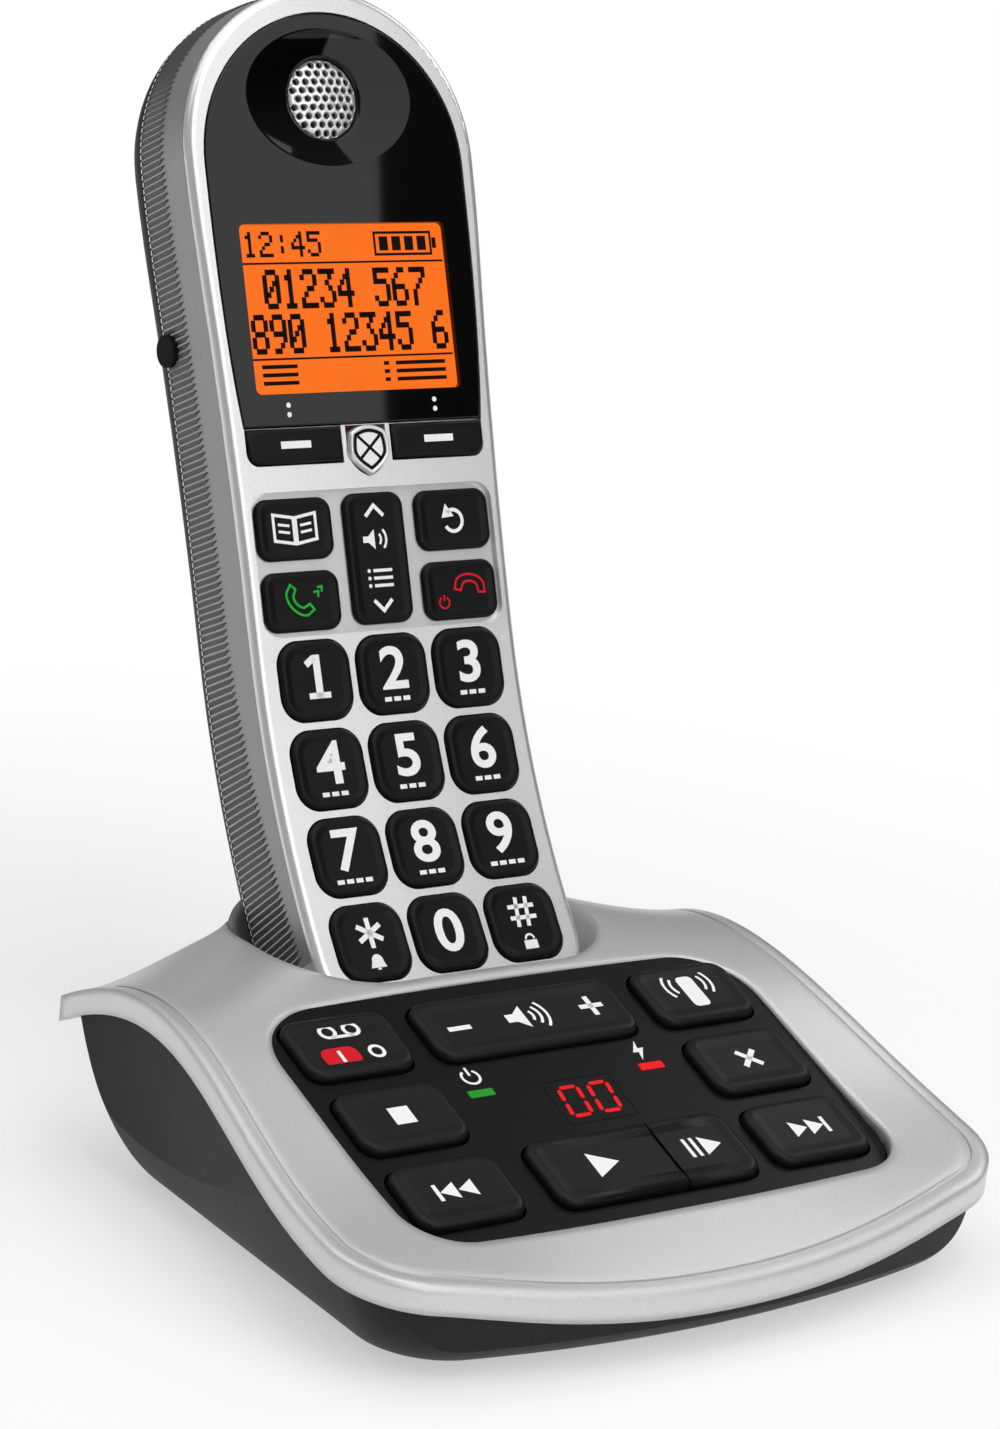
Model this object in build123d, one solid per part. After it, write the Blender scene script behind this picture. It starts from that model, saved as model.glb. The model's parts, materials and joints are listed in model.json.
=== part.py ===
from build123d import *
import math
import os

# A telephone answering machine: a sloping desk base with its control panel, and a cordless
# big-button handset that stands leaning back in the base's charging cradle.
# Sizes in mm. X is to the right, Y to the back and Z up; the desk is Z = 0.

# ---------------------------------------------------------------- base: driving sizes
TILT = 19.4                # slope of the control panel and the deck
PANEL_H = 25.5             # height of the key tops at the middle of the panel
DECK_DROP = 0.8            # silver deck below the key tops
DECK_WALL = 2.2            # wall of the top cover
BAND = 4.2                 # height of the cover's rim band
RIM_W = 59.5               # half the width of the rim at its widest
RIM_WAIST_W = 56.0         # half the width at the waist, in front of the ears
EAR_W = 58.0               # half the width at the ear tips
WIDE_Y = -10.0             # where the rim is widest
WAIST_Y = 31.0             # where the rim is narrowest
FRONT_Y = -43.5            # middle of the front edge
FRONT_SAG = 9.2            # how far the front arc runs back at the corners
CREST_Y = 55.0             # rear edge, at the ears
CORNER_R = 14.0            # front corners of the rim
GROOVE_INSET = 2.3         # groove line inside the rim
GROOVE_W = 0.6
GROOVE_DEPTH = 0.35
GROOVE_END_Y = 46.0        # where the groove runs out on the ears
CREST_FALL = 17.0          # how far the deck falls below its slope at the ear tips
SADDLE_W = 48.0            # half the width of the saddle between the ears
HOOD_SHARE = 0.33          # share of that fall at the middle, behind the handset
SADDLE_POWER = 1.75        # roundness of the saddle
HOOD_W = 31.5              # half the width of the hood behind the handset
HOOD_Y = 71.0              # rear of the hood
HOOD_CENTRE_Y = 44.0
HOOD_BLEND = 9.0           # blend of the hood into the rear edge

FOOT_H = 0.8               # how far the feet lift the housing off the desk
HULL_WALL = 2.2            # wall and floor of the lower housing
HULL_INSET = 1.5           # lower housing inside the rim band
HULL_TOP_Z = 44.0          # top of the hull's stack, above every seam
BOTTOM_W = 50.0            # half the width of the bottom
BOTTOM_FRONT_Y = -36.5
BOTTOM_REAR_Y = 44.5
BELLY_Z = 5.0              # height where the hull's belly turns up
BELLY_W = 53.6
SIDE_Z = 14.0
SIDE_W = 57.4
HOLLOW_CUT = 8.0           # cut corners of the tub's inside
SPINE_W = 30.0             # half the width of the spine at the bottom
SPINE_REAR_Y = 53.0        # rear of the spine at the bottom
HOOD_SEAM_Z = 33.5         # seam under the hood's rim

# ---------------------------------------------------------------- control panel
PANEL_W = 90.0
PANEL_LOW = -29.5          # lower edge of the panel, down the slope from its middle
PANEL_HIGH = 25.0          # upper edge of the panel
PANEL_TOP_R = 12.0
PANEL_LOW_R = 9.0
KEY_PROUD = 1.45           # key tops above the panel
PANEL_T = 1.6
PANEL_FLANGE = 1.5         # the panel's flange under the deck
PANEL_FLANGE_T = 0.8
PANEL_GAP = 0.12
BASE_KEY_GAP = 0.3         # round each base key
BASE_KEY_R = 3.2
BASE_KEY_W = 19.0
BASE_KEY_H = 13.0
BASE_KEY_X = 32.6
BASE_ROW = 16.4            # pitch of the key rows
BASE_ROW_MID = -1.7
KEY_TRAVEL = 0.8
VOLUME_KEY_W = 38.0
PLAY_LEFT = -17.6
PLAY_SPLIT = 5.4
PLAY_RIGHT = 19.8
PLAY_H = 14.0
KEY_FLANGE = 0.9
KEY_FLANGE_T = 0.8
SEAT_GAP = 0.1             # between a flat face and the flat face it rests near
LED_X = 16.0
LED_V = 1.4
LED_L = 4.4
LED_H = 1.4
DISPLAY_W = 12.6
DISPLAY_H = 9.4
DISPLAY_U = 1.0
DISPLAY_V = -3.4
BASE_KEY_BEVEL = 0.6
MAT_T = 1.0
BOARD_T = 1.6
BOARD_W = 92.4
BOARD_H = 48.0
BOARD_V = -2.5
BOARD_R = 8.0
POST_X = 44.8              # the panel's posts on the board
POST_LOW_V = -12.0
POST_HIGH_V = 8.0
POST_W = 2.4
ROCK = 1.5                 # how far the volume rockers tilt, in degrees

# ---------------------------------------------------------------- handset: driving sizes
LEAN = 21.3                # handset's lean back from upright
TANGENT_Y = 60.8           # where the straight face meets the curled lower face
TANGENT_Z = 77.9
CURL_R = 153.0             # radius of the curled lower face
LOWER_L = 61.0             # length of the curled face
HANDSET_T = 22.5           # thickness
HANDSET_W = 25.0           # half the width over the keys
HEAD_W = 27.2              # half the width of the head, and the radius of its dome
HEAD_Z = 76.5              # centre of the head's dome
NECK_Z = 60.0              # where the neck's hollow sides turn into the head's swell
END_R = 10.0               # corners of the lower end
FACE_ROUND = 1.4           # rounding of the face's edge
BACK_ROUND = 8.0           # rounding of the back's edge
SHELL = 1.8                # wall of the two shells
SEAM = 12.3                # seam between the shells, behind the face
GRIP_FRONT = 4.6           # ribbed grip band, behind the face
GRIP_DEPTH = 0.5

LENS_W = 24.5              # half the width of the lens at its dome
LENS_Z = 75.2              # centre of the lens's dome
LENS_LOW_W = 22.7          # half the width of the lens at its lower end
LENS_LOW_Z = 33.6
LENS_T = 3.0
LENS_GAP = 0.1
DISH_W = 30.5
DISH_H = 22.0
DISH_Z = 86.0
DISH_DEPTH = 2.0
DISH_SEAT = 1.0            # seat round the grille
GRILLE_D = 12.9
GRILLE_T = 0.8
GRILLE_HOLE_D = 1.0
GRILLE_PITCH = 1.75
LCD_W = 39.0
LCD_LOW = 38.9
LCD_HIGH = 65.8
LCD_DEPTH = 0.8            # the display below the lens
LCD_T = 3.2

SOFT_LOW = 27.6            # lower edge of the two soft keys
SOFT_INNER = 4.6
SHIELD_W = 7.6
SHIELD_LOW = 25.3
SHIELD_HIGH = 33.5
RECESS_W = 45.8            # shallow recess round the call keys
RECESS_LOW = 0.6
RECESS_HIGH = 23.5
RECESS_DEPTH = 0.9
CALL_KEY_W = 14.2
CALL_KEY_X = 15.1
BOOK_KEY_H = 9.8
BOOK_KEY_Z = 17.6
TALK_KEY_H = 9.5
TALK_KEY_Z = 6.2
ROCKER_W = 11.4
ROCKER_H = 21.0
ROCKER_Z = 12.2
CALL_KEY_R = 2.4
DIGIT_W = 13.1
DIGIT_H = 12.5
DIGIT_R = 3.8
DIGIT_PITCH_X = 14.6
DIGIT_PITCH_S = 14.13
DIGIT_TOP_S = -6.4         # middle of the top digit row, along the face from the tangent point
HANDSET_KEY_GAP = 0.25
HANDSET_KEY_PROUD = 0.6
HANDSET_TRAVEL = 0.6
HANDSET_MAT_T = 0.8
HANDSET_FLANGE = 0.5
HANDSET_FLANGE_T = 0.7
HANDSET_KEY_BEVEL = 0.35
CALL_KEY_PROUD = 0.8       # call keys above their recess
SOFT_PROUD = 0.5
SHIELD_PROUD = 0.9
LENS_PLATE = 1.1           # thickness of the lens at its ledge
LENS_LEDGE = 1.6
MAT_LOW = -52.0
MAT_HIGH = 35.0
MIC_S = -57.35             # microphone, between the bottom keys and the end wall
MIC_D = 2.8
RECEIVER_D = 15.0
RECEIVER_T = 4.0
LOUDSPEAKER_D = 20.0
LOUDSPEAKER_Z = 74.0
UPPER_BOARD_W = 17.0
UPPER_BOARD_LOW = -1.0
UPPER_BOARD_HIGH = 36.0
LOWER_BOARD_S = -28.0
LOWER_BOARD_L = 48.0
BUNG_D = 5.2
BUNG_L = 3.0
BUNG_DEPTH = 13.4
BUNG_Z = 48.0
BUNG_REACH = 1.1           # how far the bung's face stands out of the neck
HANDSET_SCREW_X = 22.9
HANDSET_SCREW_Z = 60.0
HANDSET_SCREW_SEAT = 17.0  # seat of the screw heads, behind the face
HANDSET_SCREW_D = 1.7
HANDSET_HEAD_D = 3.8
HANDSET_BOSS_D = 4.4

CELL_D = 10.5
CELL_L = 44.5
CELL_X = 5.6
CELL_GAP = 0.3
CELLS_LOW = 2.8
CELLS_HIGH = 50.0
CONTACT_ROOM = 1.6         # from the bay's end to the cell
PLATE_W = 8.0
PLATE_T = 0.5
TRAY_WALL = 1.2
DOOR_W = 32.0
DOOR_LOW = 1.0
DOOR_HIGH = 53.0
DOOR_R = 3.0
DOOR_T = 1.5
DOOR_GAP = 0.2

# ---------------------------------------------------------------- cradle
LIFT = 36.0                # the handset lifts out along this lean
CRADLE_GAP = 0.6           # round the handset in its well
WELL_WALL = 1.5
FUNNEL_W = 65.0            # mouth of the funnel, level with its rim
FUNNEL_FRONT_Y = 25.5
FUNNEL_REAR_Y = 67.6
FUNNEL_R = 19.0
FUNNEL_TOP_Z = 37.0
FUNNEL_LOW_Z = 28.0
FUNNEL_WALL = 1.8

# ---------------------------------------------------------------- sockets, feet and screws
FOOT_D = 9.0
FOOT_SUNK = 0.6
FOOT_FRONT = (38.0, -26.0)
FOOT_REAR = (37.0, 37.0)
SCREW_FRONT = (46.0, -18.0)
SCREW_REAR = (46.0, 28.0)
SCREW_JOINT_Z = 8.0        # where the housing's pillars meet the cover's
SCREW_D = 2.4
SCREW_HEAD_D = 5.0
SCREW_HEAD_H = 1.5
SCREW_SUNK = 1.6           # seat of the screw heads above the housing's underside
SCREW_L = 6.5
BOSS_D = 6.4
SPEAKER_D = 31.0
SPEAKER_H = 7.0
SPEAKER_PLACE = (0.0, 4.0)
SPEAKER_RING = 1.5         # wall of the ring that holds the speaker
SPEAKER_RING_H = 3.0
SLOT_W = 1.6               # sound slots under the speaker
SLOT_PITCH = 3.4
SLOT_ROWS = 3              # rows of slots each side of the middle one
POWER_X = 33.4
LINE_X = 34.9
POWER_BORE_D = 5.6
POWER_DEPTH = 9.0
POWER_BODY_W = 10.0
POWER_BODY_L = 13.0
LINE_W = 9.8
LINE_H = 6.8
LINE_DEPTH = 11.0
LINE_LATCH_W = 3.9
LINE_LATCH_H = 0.9
LINE_BODY_W = 13.0
LINE_BODY_L = 15.0
SOCKET_H = 10.0
SOCKET_REAR_Y = 45.0       # the sockets' faces

CONTACT_X = 8.0            # charging contacts each side of the middle
CONTACT_DEPTH = 15.5       # behind the handset's face
CONTACT_W = 3.0
CONTACT_L = 5.0
CONTACT_GAP = 0.45         # from the contacts' tops to the handset's pads
PAD_W = 4.0
PAD_L = 6.0
PAD_T = 0.8

PARTS = "parts"
sin = lambda degrees: math.sin(math.radians(degrees))
cos = lambda degrees: math.cos(math.radians(degrees))
tan = lambda degrees: math.tan(math.radians(degrees))

# ---------------------------------------------------------------- frames
PANEL = Plane(origin=(0, 0, PANEL_H), x_dir=(1, 0, 0), z_dir=(0, -sin(TILT), cos(TILT)))
HANDSET = Plane(origin=(0, TANGENT_Y, TANGENT_Z), x_dir=(1, 0, 0), z_dir=(0, sin(LEAN), cos(LEAN)))


def on_panel(u, v, w=0.0):
    """Place on the control panel: u to the right, v up the slope, w out of the key tops."""
    return PANEL.location * Pos(u, v, w)


def on_face(x, s, depth=0.0):
    """Place on the handset's face, in the handset's own frame: x to the right, s along the face
    from the tangent point. Its Z points out of the face and its Y up along it."""
    if s >= 0:
        return Pos(x, depth, s) * Rot(90, 0, 0)
    curl = math.degrees(-s / CURL_R)
    return Pos(0, -CURL_R, 0) * Rot(-curl, 0, 0) * Pos(x, CURL_R + depth, 0) * Rot(90, 0, 0)


def place_handset(shape):
    return HANDSET.location * shape


def slab(sketch, place, thickness):
    """A flat sketch placed, and thickened downwards from its place."""
    return place * extrude(sketch, -thickness)


# ---------------------------------------------------------------- deck surface
def deck_height(x, y):
    """Height of the deck: the panel's slope, falling away to the ears and the rear edge."""
    slope = PANEL_H - DECK_DROP + y * tan(TILT)
    backward = max(y, 0.0) / CREST_Y
    sideways = min(abs(x) / SADDLE_W, 1.0) ** SADDLE_POWER
    fall = CREST_FALL * backward**3 * (HOOD_SHARE + (1 - HOOD_SHARE) * sideways)
    return slope - fall


def make_deck():
    """Everything under the deck's surface, lofted through its cross-sections from front to rear."""
    reach = RIM_W + 6
    columns = [reach * step / 4 for step in range(-4, 5)]
    stations = [FRONT_Y - 16, 0, CREST_Y / 3, CREST_Y * 2 / 3, CREST_Y, HOOD_Y + 3]
    sections = []
    for y in stations:
        crown = [(x, y, deck_height(x, y)) for x in columns]
        low = -12.0
        sections.append(make_face([
            Spline(*crown),
            Line(crown[-1], (reach, y, low)),
            Line((reach, y, low), (-reach, y, low)),
            Line((-reach, y, low), crown[0]),
        ]))
    return loft(sections)


DECK = make_deck()


def under_deck(below):
    """Everything under the deck's surface, lowered by below."""
    return Pos(0, 0, -below) * DECK


# ---------------------------------------------------------------- plan outlines of the base
def rim_plan(inset=0.0):
    """The rim's outline from above: arched front, waisted sides, ears and the hood's bulge."""
    front_y, rear_y = FRONT_Y + inset, CREST_Y - inset
    corner = (RIM_W - 0.6 - inset, front_y + FRONT_SAG)
    side = [corner, (RIM_W - inset, WIDE_Y), (RIM_WAIST_W - inset, WAIST_Y), (EAR_W - inset, rear_y)]
    mirrored = [(-x, y) for x, y in side]
    plan = make_face([
        ThreePointArc(mirrored[0], (0, front_y), corner),
        Spline(*side),
        Line(side[-1], mirrored[-1]),
        Spline(*mirrored),
    ])
    plan = fillet(plan.vertices().sort_by(Axis.Y)[:2], CORNER_R - inset)
    plan += Pos(0, HOOD_CENTRE_Y) * Ellipse(HOOD_W - inset, HOOD_Y - HOOD_CENTRE_Y - inset)
    joins = plan.vertices().filter_by(lambda v: abs(v.Y - rear_y) < 0.01 and abs(v.X) < HOOD_W)
    return fillet(joins, HOOD_BLEND + inset)


def prism(sketch, low=-5.0, high=60.0):
    return Pos(0, 0, low) * extrude(sketch, high - low)


def hull_section(z, half_width, front, rear, corner):
    """One level of the lower housing's hull."""
    sag = FRONT_SAG * (half_width / RIM_W) ** 2
    ring = make_face([
        ThreePointArc((-half_width, front + sag), (0, front), (half_width, front + sag)),
        Line((half_width, front + sag), (half_width - 1.5, rear)),
        Line((half_width - 1.5, rear), (1.5 - half_width, rear)),
        Line((1.5 - half_width, rear), (-half_width, front + sag)),
    ])
    ring = fillet(ring.vertices().sort_by(Axis.Y)[:2], corner)
    ring = fillet(ring.vertices().sort_by(Axis.Y)[-2:], corner / 2)
    return Pos(0, 0, z) * ring


def hull():
    """The lower housing's outer form: a bellied stack with the rear spine."""
    front = FRONT_Y + HULL_INSET
    levels = [
        (FOOT_H, BOTTOM_W, BOTTOM_FRONT_Y, BOTTOM_REAR_Y, 12.5),
        (BELLY_Z, BELLY_W, front, BOTTOM_REAR_Y + 2.0, 13.0),
        (SIDE_Z, SIDE_W, front, BOTTOM_REAR_Y + 6.0, 13.5),
        (HULL_TOP_Z, RIM_W, front, CREST_Y + 2.0, 13.5),
    ]
    stack = loft([hull_section(*level) for level in levels])
    low_centre = HOOD_CENTRE_Y - 10.0
    low = Pos(0, low_centre, FOOT_H) * Ellipse(SPINE_W, SPINE_REAR_Y - low_centre)
    high_reach = HOOD_Y - HOOD_CENTRE_Y - HULL_INSET
    high = Pos(0, HOOD_CENTRE_Y, HOOD_SEAM_Z) * Ellipse(HOOD_W + HULL_INSET, high_reach)
    spine = loft([low, high]) + extrude(high, HULL_TOP_Z - HOOD_SEAM_Z)
    return (stack + spine) & prism(rim_plan(HULL_INSET))


def hollow_section(z, half_width, front, rear):
    """One level of the tub's inside: straight sides with cut corners."""
    sag = FRONT_SAG * (half_width / RIM_W) ** 2
    cut = HOLLOW_CUT
    shoulder = front + sag * (1 - cut / half_width) ** 2
    right = [
        (half_width / 2, front + sag / 4),
        (half_width - cut, shoulder),
        (half_width, front + sag + cut),
        (half_width, rear - cut),
        (half_width - cut, rear),
    ]
    left = [(-x, y) for x, y in reversed(right)]
    return Pos(0, 0, z) * make_face([Polyline((0, front), *right, *left, (0, front))])


def hull_hollow():
    """The tub's inside: plain faces that leave at least the hull's wall."""
    rim = HULL_INSET + HULL_WALL
    levels = [
        (FOOT_H + HULL_WALL, BOTTOM_W - HULL_WALL, BOTTOM_FRONT_Y + HULL_WALL, BOTTOM_REAR_Y - HULL_WALL),
        (SIDE_Z, SIDE_W - HULL_WALL, FRONT_Y + rim, BOTTOM_REAR_Y + 6.0 - HULL_WALL),
        (HULL_TOP_Z, RIM_W - HULL_WALL, FRONT_Y + rim, CREST_Y + 2.0 - HULL_WALL),
    ]
    stack = loft([hollow_section(*level) for level in levels], ruled=True)
    return stack & prism(rim_plan(rim))


# ---------------------------------------------------------------- handset's form
def handset_slab(near, far, end_inset=0.0):
    """All that lies between two depths behind the face, straight above and curled below."""
    end = math.degrees((LOWER_L - end_inset) / CURL_R)
    top = HEAD_Z + HEAD_W + 5

    def at(depth, angle):
        radius = CURL_R + depth
        return (0, radius * cos(angle) - CURL_R, -radius * sin(angle))

    section = make_face([
        Line((0, near, top), (0, near, 0)),
        ThreePointArc(at(near, 0), at(near, end / 2), at(near, end)),
        Line(at(near, end), at(far, end)),
        ThreePointArc(at(far, end), at(far, end / 2), at(far, 0)),
        Line((0, far, 0), (0, far, top)),
        Line((0, far, top), (0, near, top)),
    ])
    return extrude(section, 45, dir=(1, 0, 0), both=True)


def neck_turn(inset=0.0):
    """Where a side's hollow curve turns into the head's swell: both are arcs that start upright."""
    lower, head = HANDSET_W - inset, HEAD_W - inset
    return lower + (head - lower) * NECK_Z / HEAD_Z, NECK_Z


def neck_width(z):
    """Half the handset's width at a place along the neck's hollow curve."""
    turn_x, turn_z = neck_turn()
    rise = turn_x - HANDSET_W
    radius = (rise**2 + turn_z**2) / (2 * rise)
    return HANDSET_W + radius - math.sqrt(radius**2 - z**2)


def handset_front_view(inset=0.0):
    """The handset's outline from the front: domed head, slim neck and straight lower sides."""
    lower, head = HANDSET_W - inset, HEAD_W - inset
    floor = -CURL_R / 2
    turn_x, turn_z = neck_turn(inset)
    return make_face([
        Line((-lower, floor), (lower, floor)),
        Line((lower, floor), (lower, 0)),
        TangentArc((lower, 0), (turn_x, turn_z), tangent=(0, 1)),
        TangentArc((head, HEAD_Z), (turn_x, turn_z), tangent=(0, -1)),
        ThreePointArc((head, HEAD_Z), (0, HEAD_Z + head), (-head, HEAD_Z)),
        TangentArc((-head, HEAD_Z), (-turn_x, turn_z), tangent=(0, -1)),
        TangentArc((-lower, 0), (-turn_x, turn_z), tangent=(0, 1)),
        Line((-lower, 0), (-lower, floor)),
    ])


def front_prism(sketch, near, far):
    """A sketch in the handset's front view, thickened between two depths behind the face."""
    return Pos(0, far, 0) * Rot(90, 0, 0) * extrude(sketch, far - near)


def handset_block(inset):
    """The handset's form before its back is rounded, drawn in by inset."""
    block = handset_slab(inset, HANDSET_T - inset, inset)
    block &= front_prism(handset_front_view(inset), -60, 60)
    end_edges = block.faces().sort_by(Axis.Z)[0].edges().filter_by(
        lambda e: abs(e.center().X) > HANDSET_W - inset - 0.5)
    return fillet(end_edges, END_R - inset)


def handset_form(inset=0.0, face_round=0.0):
    """The handset's outer form, drawn in by inset."""
    form = handset_block(inset)
    form = fillet(edges_at_depth(form, HANDSET_T - inset), BACK_ROUND - inset)
    if face_round:
        form = fillet(edges_at_depth(form, inset), face_round)
    return form


def handset_hollow():
    """The hollow inside both shells, bevelled where the back is rounded."""
    hollow = handset_block(SHELL)
    return chamfer(edges_at_depth(hollow, HANDSET_T - SHELL), BACK_ROUND / 2)


def edges_at_depth(form, depth):
    """The edges round the face or the back: those that lie at one depth, apart from the tangent line."""
    found = []
    for edge in form.edges():
        samples = [edge.position_at(share) for share in (0.0, 0.25, 0.5, 0.75, 1.0)]
        if all(abs(depth_of(point) - depth) < 0.02 for point in samples):
            flat = all(abs(point.Z) < 0.02 for point in samples)
            if not flat:
                found.append(edge)
    return found


def depth_of(point):
    """How far a point lies behind the handset's face."""
    if point.Z >= 0:
        return point.Y
    return math.hypot(point.Y + CURL_R, point.Z) - CURL_R


# ---------------------------------------------------------------- cradle's form
def lift_frame():
    """Frame of the cradle well, on the face where its lean is that of the lift: Z up along it."""
    place = HANDSET.location * on_face(0, -CURL_R * math.radians(LIFT - LEAN))
    return Plane(origin=place.position, x_dir=(1, 0, 0), z_dir=(0, sin(LIFT), cos(LIFT))).location


def handset_reach(angle_from_lift, depth):
    """Where a point of the curled lower end lies in the lift frame: how far back, and how far up."""
    radius = CURL_R + depth
    return radius * cos(angle_from_lift) - CURL_R, -radius * sin(angle_from_lift)


def well_prism(grow, low_extra=0.0, top=60.0):
    """The cradle well's hollow, grown sideways: it holds the handset's lower end as it lifts."""
    end = LEAN + math.degrees(LOWER_L / CURL_R) - LIFT
    front = handset_reach(end, 0)[0] - CRADLE_GAP - grow
    back = HANDSET_T + CRADLE_GAP + grow
    floor = handset_reach(end, HANDSET_T)[1] - CRADLE_GAP - low_extra
    width = 2 * (HANDSET_W + CRADLE_GAP + grow)
    section = Pos(0, (front + back) / 2) * Rectangle(width, back - front)
    section = fillet(section.vertices().sort_by(Axis.Y)[:2], FACE_ROUND + CRADLE_GAP + grow)
    section = fillet(section.vertices().sort_by(Axis.Y)[-2:], BACK_ROUND + CRADLE_GAP + grow)
    return lift_frame() * Pos(0, 0, floor) * extrude(section, top - floor)


def funnel(grow=0.0):
    """The mouth of the cradle: a well section opening upwards into a wide rounded rim."""
    frame = lift_frame()
    end = LEAN + math.degrees(LOWER_L / CURL_R) - LIFT
    front = handset_reach(end, 0)[0] - CRADLE_GAP
    back = HANDSET_T + CRADLE_GAP

    def level_y(q):
        """Y of the well's wall q behind the lift frame, at the funnel's lower level."""
        start = frame * Pos(0, q, 0)
        up = (FUNNEL_LOW_Z - start.position.Z) / cos(LIFT)
        return start.position.Y + up * sin(LIFT)

    low_front, low_back = level_y(front) - grow, level_y(back) + grow
    low = Pos(0, (low_front + low_back) / 2, FUNNEL_LOW_Z) * RectangleRounded(
        2 * (HANDSET_W + CRADLE_GAP + grow), low_back - low_front, 9.0)
    top_front, top_back = FUNNEL_FRONT_Y - grow, FUNNEL_REAR_Y + grow
    high = Pos(0, (top_front + top_back) / 2, FUNNEL_TOP_Z) * RectangleRounded(
        FUNNEL_W + 2 * grow, top_back - top_front, FUNNEL_R)
    return loft([low, high]) + extrude(high, 12)


# ---------------------------------------------------------------- base pieces
def panel_outline(grow=0.0):
    half = PANEL_W / 2 + grow
    low, high = PANEL_LOW - grow, PANEL_HIGH + grow
    crown = 0.8
    outline = make_face([
        Line((-half, low), (half, low)),
        Line((half, low), (half, high - crown)),
        ThreePointArc((half, high - crown), (0, high), (-half, high - crown)),
        Line((-half, high - crown), (-half, low)),
    ])
    outline = fillet(outline.vertices().sort_by(Axis.Y)[:2], PANEL_LOW_R + grow)
    return fillet(outline.vertices().sort_by(Axis.Y)[-2:], PANEL_TOP_R + grow)


def screw_places():
    return [(side * x, y) for x, y in (SCREW_FRONT, SCREW_REAR) for side in (-1, 1)]


def pillar(x, y, low, high, diameter, bore):
    ring = Pos(x, y) * (Circle(diameter / 2) - Circle(bore / 2))
    return Pos(0, 0, low) * extrude(ring, high - low)


def panel_depth():
    """Depth of the panel's underside below the key tops."""
    return KEY_PROUD + PANEL_T + PANEL_FLANGE_T


def base_top_cover():
    skin = under_deck(0) & prism(rim_plan())
    hollow = under_deck(DECK_WALL) & prism(rim_plan(DECK_WALL))
    ring = prism(rim_plan(GROOVE_INSET) - rim_plan(GROOVE_INSET + GROOVE_W))
    ring &= Pos(0, GROOVE_END_Y - 100, 0) * Box(200, 200, 200)
    shell = skin - [under_deck(BAND), hollow, ring - under_deck(GROOVE_DEPTH)]
    mouth = funnel(FUNNEL_WALL) & under_deck(0) & prism(rim_plan(HULL_INSET))
    inside = under_deck(DECK_WALL / 2)
    pillars = [
        pillar(x, y, SCREW_JOINT_Z, PANEL_H + BOSS_D * 4, BOSS_D, SCREW_D) & inside
        for x, y in screw_places()
    ]
    shell = shell + [mouth] + pillars
    window = slab(panel_outline(PANEL_GAP), on_panel(0, 0, 5), 5 + panel_depth())
    rebate = slab(panel_outline(PANEL_FLANGE + PANEL_GAP), on_panel(0, 0, -KEY_PROUD - PANEL_T), 6)
    return shell - [funnel(), well_prism(0, 5), window, rebate]


def cradle_well():
    well = well_prism(WELL_WALL, WELL_WALL) & under_deck(DECK_WALL + SEAT_GAP)
    slots = [contact_place(side) * Box(CONTACT_W + 0.2, CONTACT_L + 0.2, 12) for side in (-1, 1)]
    return well - [well_prism(0), funnel(FUNNEL_WALL + SEAT_GAP)] - slots


def well_floor():
    """The cradle floor's height along the lift."""
    end = LEAN + math.degrees(LOWER_L / CURL_R) - LIFT
    return handset_reach(end, HANDSET_T)[1] - CRADLE_GAP


def contact_place(side):
    return lift_frame() * Pos(side * CONTACT_X, CONTACT_DEPTH, well_floor())


def base_lower_housing():
    """The tub, with pillars for the screws, a ring round the speaker and openings for the sockets."""
    floor_z = FOOT_H + HULL_WALL
    tub = (hull() & under_deck(BAND)) - hull_hollow()
    pillars = [
        pillar(x, y, floor_z - 0.5, SCREW_JOINT_Z - SEAT_GAP, BOSS_D, SCREW_D + 0.4)
        for x, y in screw_places()
    ]
    ring = Circle(SPEAKER_D / 2 + SPEAKER_RING) - Circle(SPEAKER_D / 2 + SEAT_GAP)
    holder = Pos(*SPEAKER_PLACE, floor_z - 0.5) * extrude(ring, SPEAKER_RING_H + 0.5)
    cuts = [
        Pos(0, 0, -1) * extrude(slots_pattern(), floor_z + 2),
        socket_block(-LINE_X, LINE_BODY_W, 40, SEAT_GAP, 40 - LINE_BODY_L),
        socket_block(POWER_X, POWER_BODY_W, 40, SEAT_GAP, 40 - POWER_BODY_L),
        well_prism(WELL_WALL + SEAT_GAP, WELL_WALL + SEAT_GAP),
        funnel(FUNNEL_WALL + SEAT_GAP),
    ]
    for x, y in foot_places():
        cuts.append(Pos(x, y, -1) * extrude(Circle(FOOT_D / 2 + SEAT_GAP), 1 + FOOT_H + FOOT_SUNK))
    for x, y in screw_places():
        cuts.append(Pos(x, y, -1) * extrude(Circle(SCREW_D / 2 + 0.2), SCREW_JOINT_Z))
        cuts.append(Pos(x, y, -1) * extrude(Circle(SCREW_HEAD_D / 2 + 0.2), 1 + FOOT_H + SCREW_SUNK))
    return (tub + [holder] + pillars) - cuts


def slots_pattern():
    """Sound slots under the speaker, shorter towards the edge of its disc."""
    slots = Sketch()
    for row in range(-SLOT_ROWS, SLOT_ROWS + 1):
        half = math.sqrt((SPEAKER_D / 2 - 3) ** 2 - (row * SLOT_PITCH) ** 2)
        slots += Pos(0, row * SLOT_PITCH) * SlotOverall(2 * half, SLOT_W)
    return Pos(*SPEAKER_PLACE) * slots


def foot_places():
    return [(side * x, y) for x, y in (FOOT_FRONT, FOOT_REAR) for side in (-1, 1)]


def base_feet():
    foot = extrude(Circle(FOOT_D / 2), FOOT_H + FOOT_SUNK)
    return Compound([Pos(x, y, 0) * foot for x, y in foot_places()])


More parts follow.
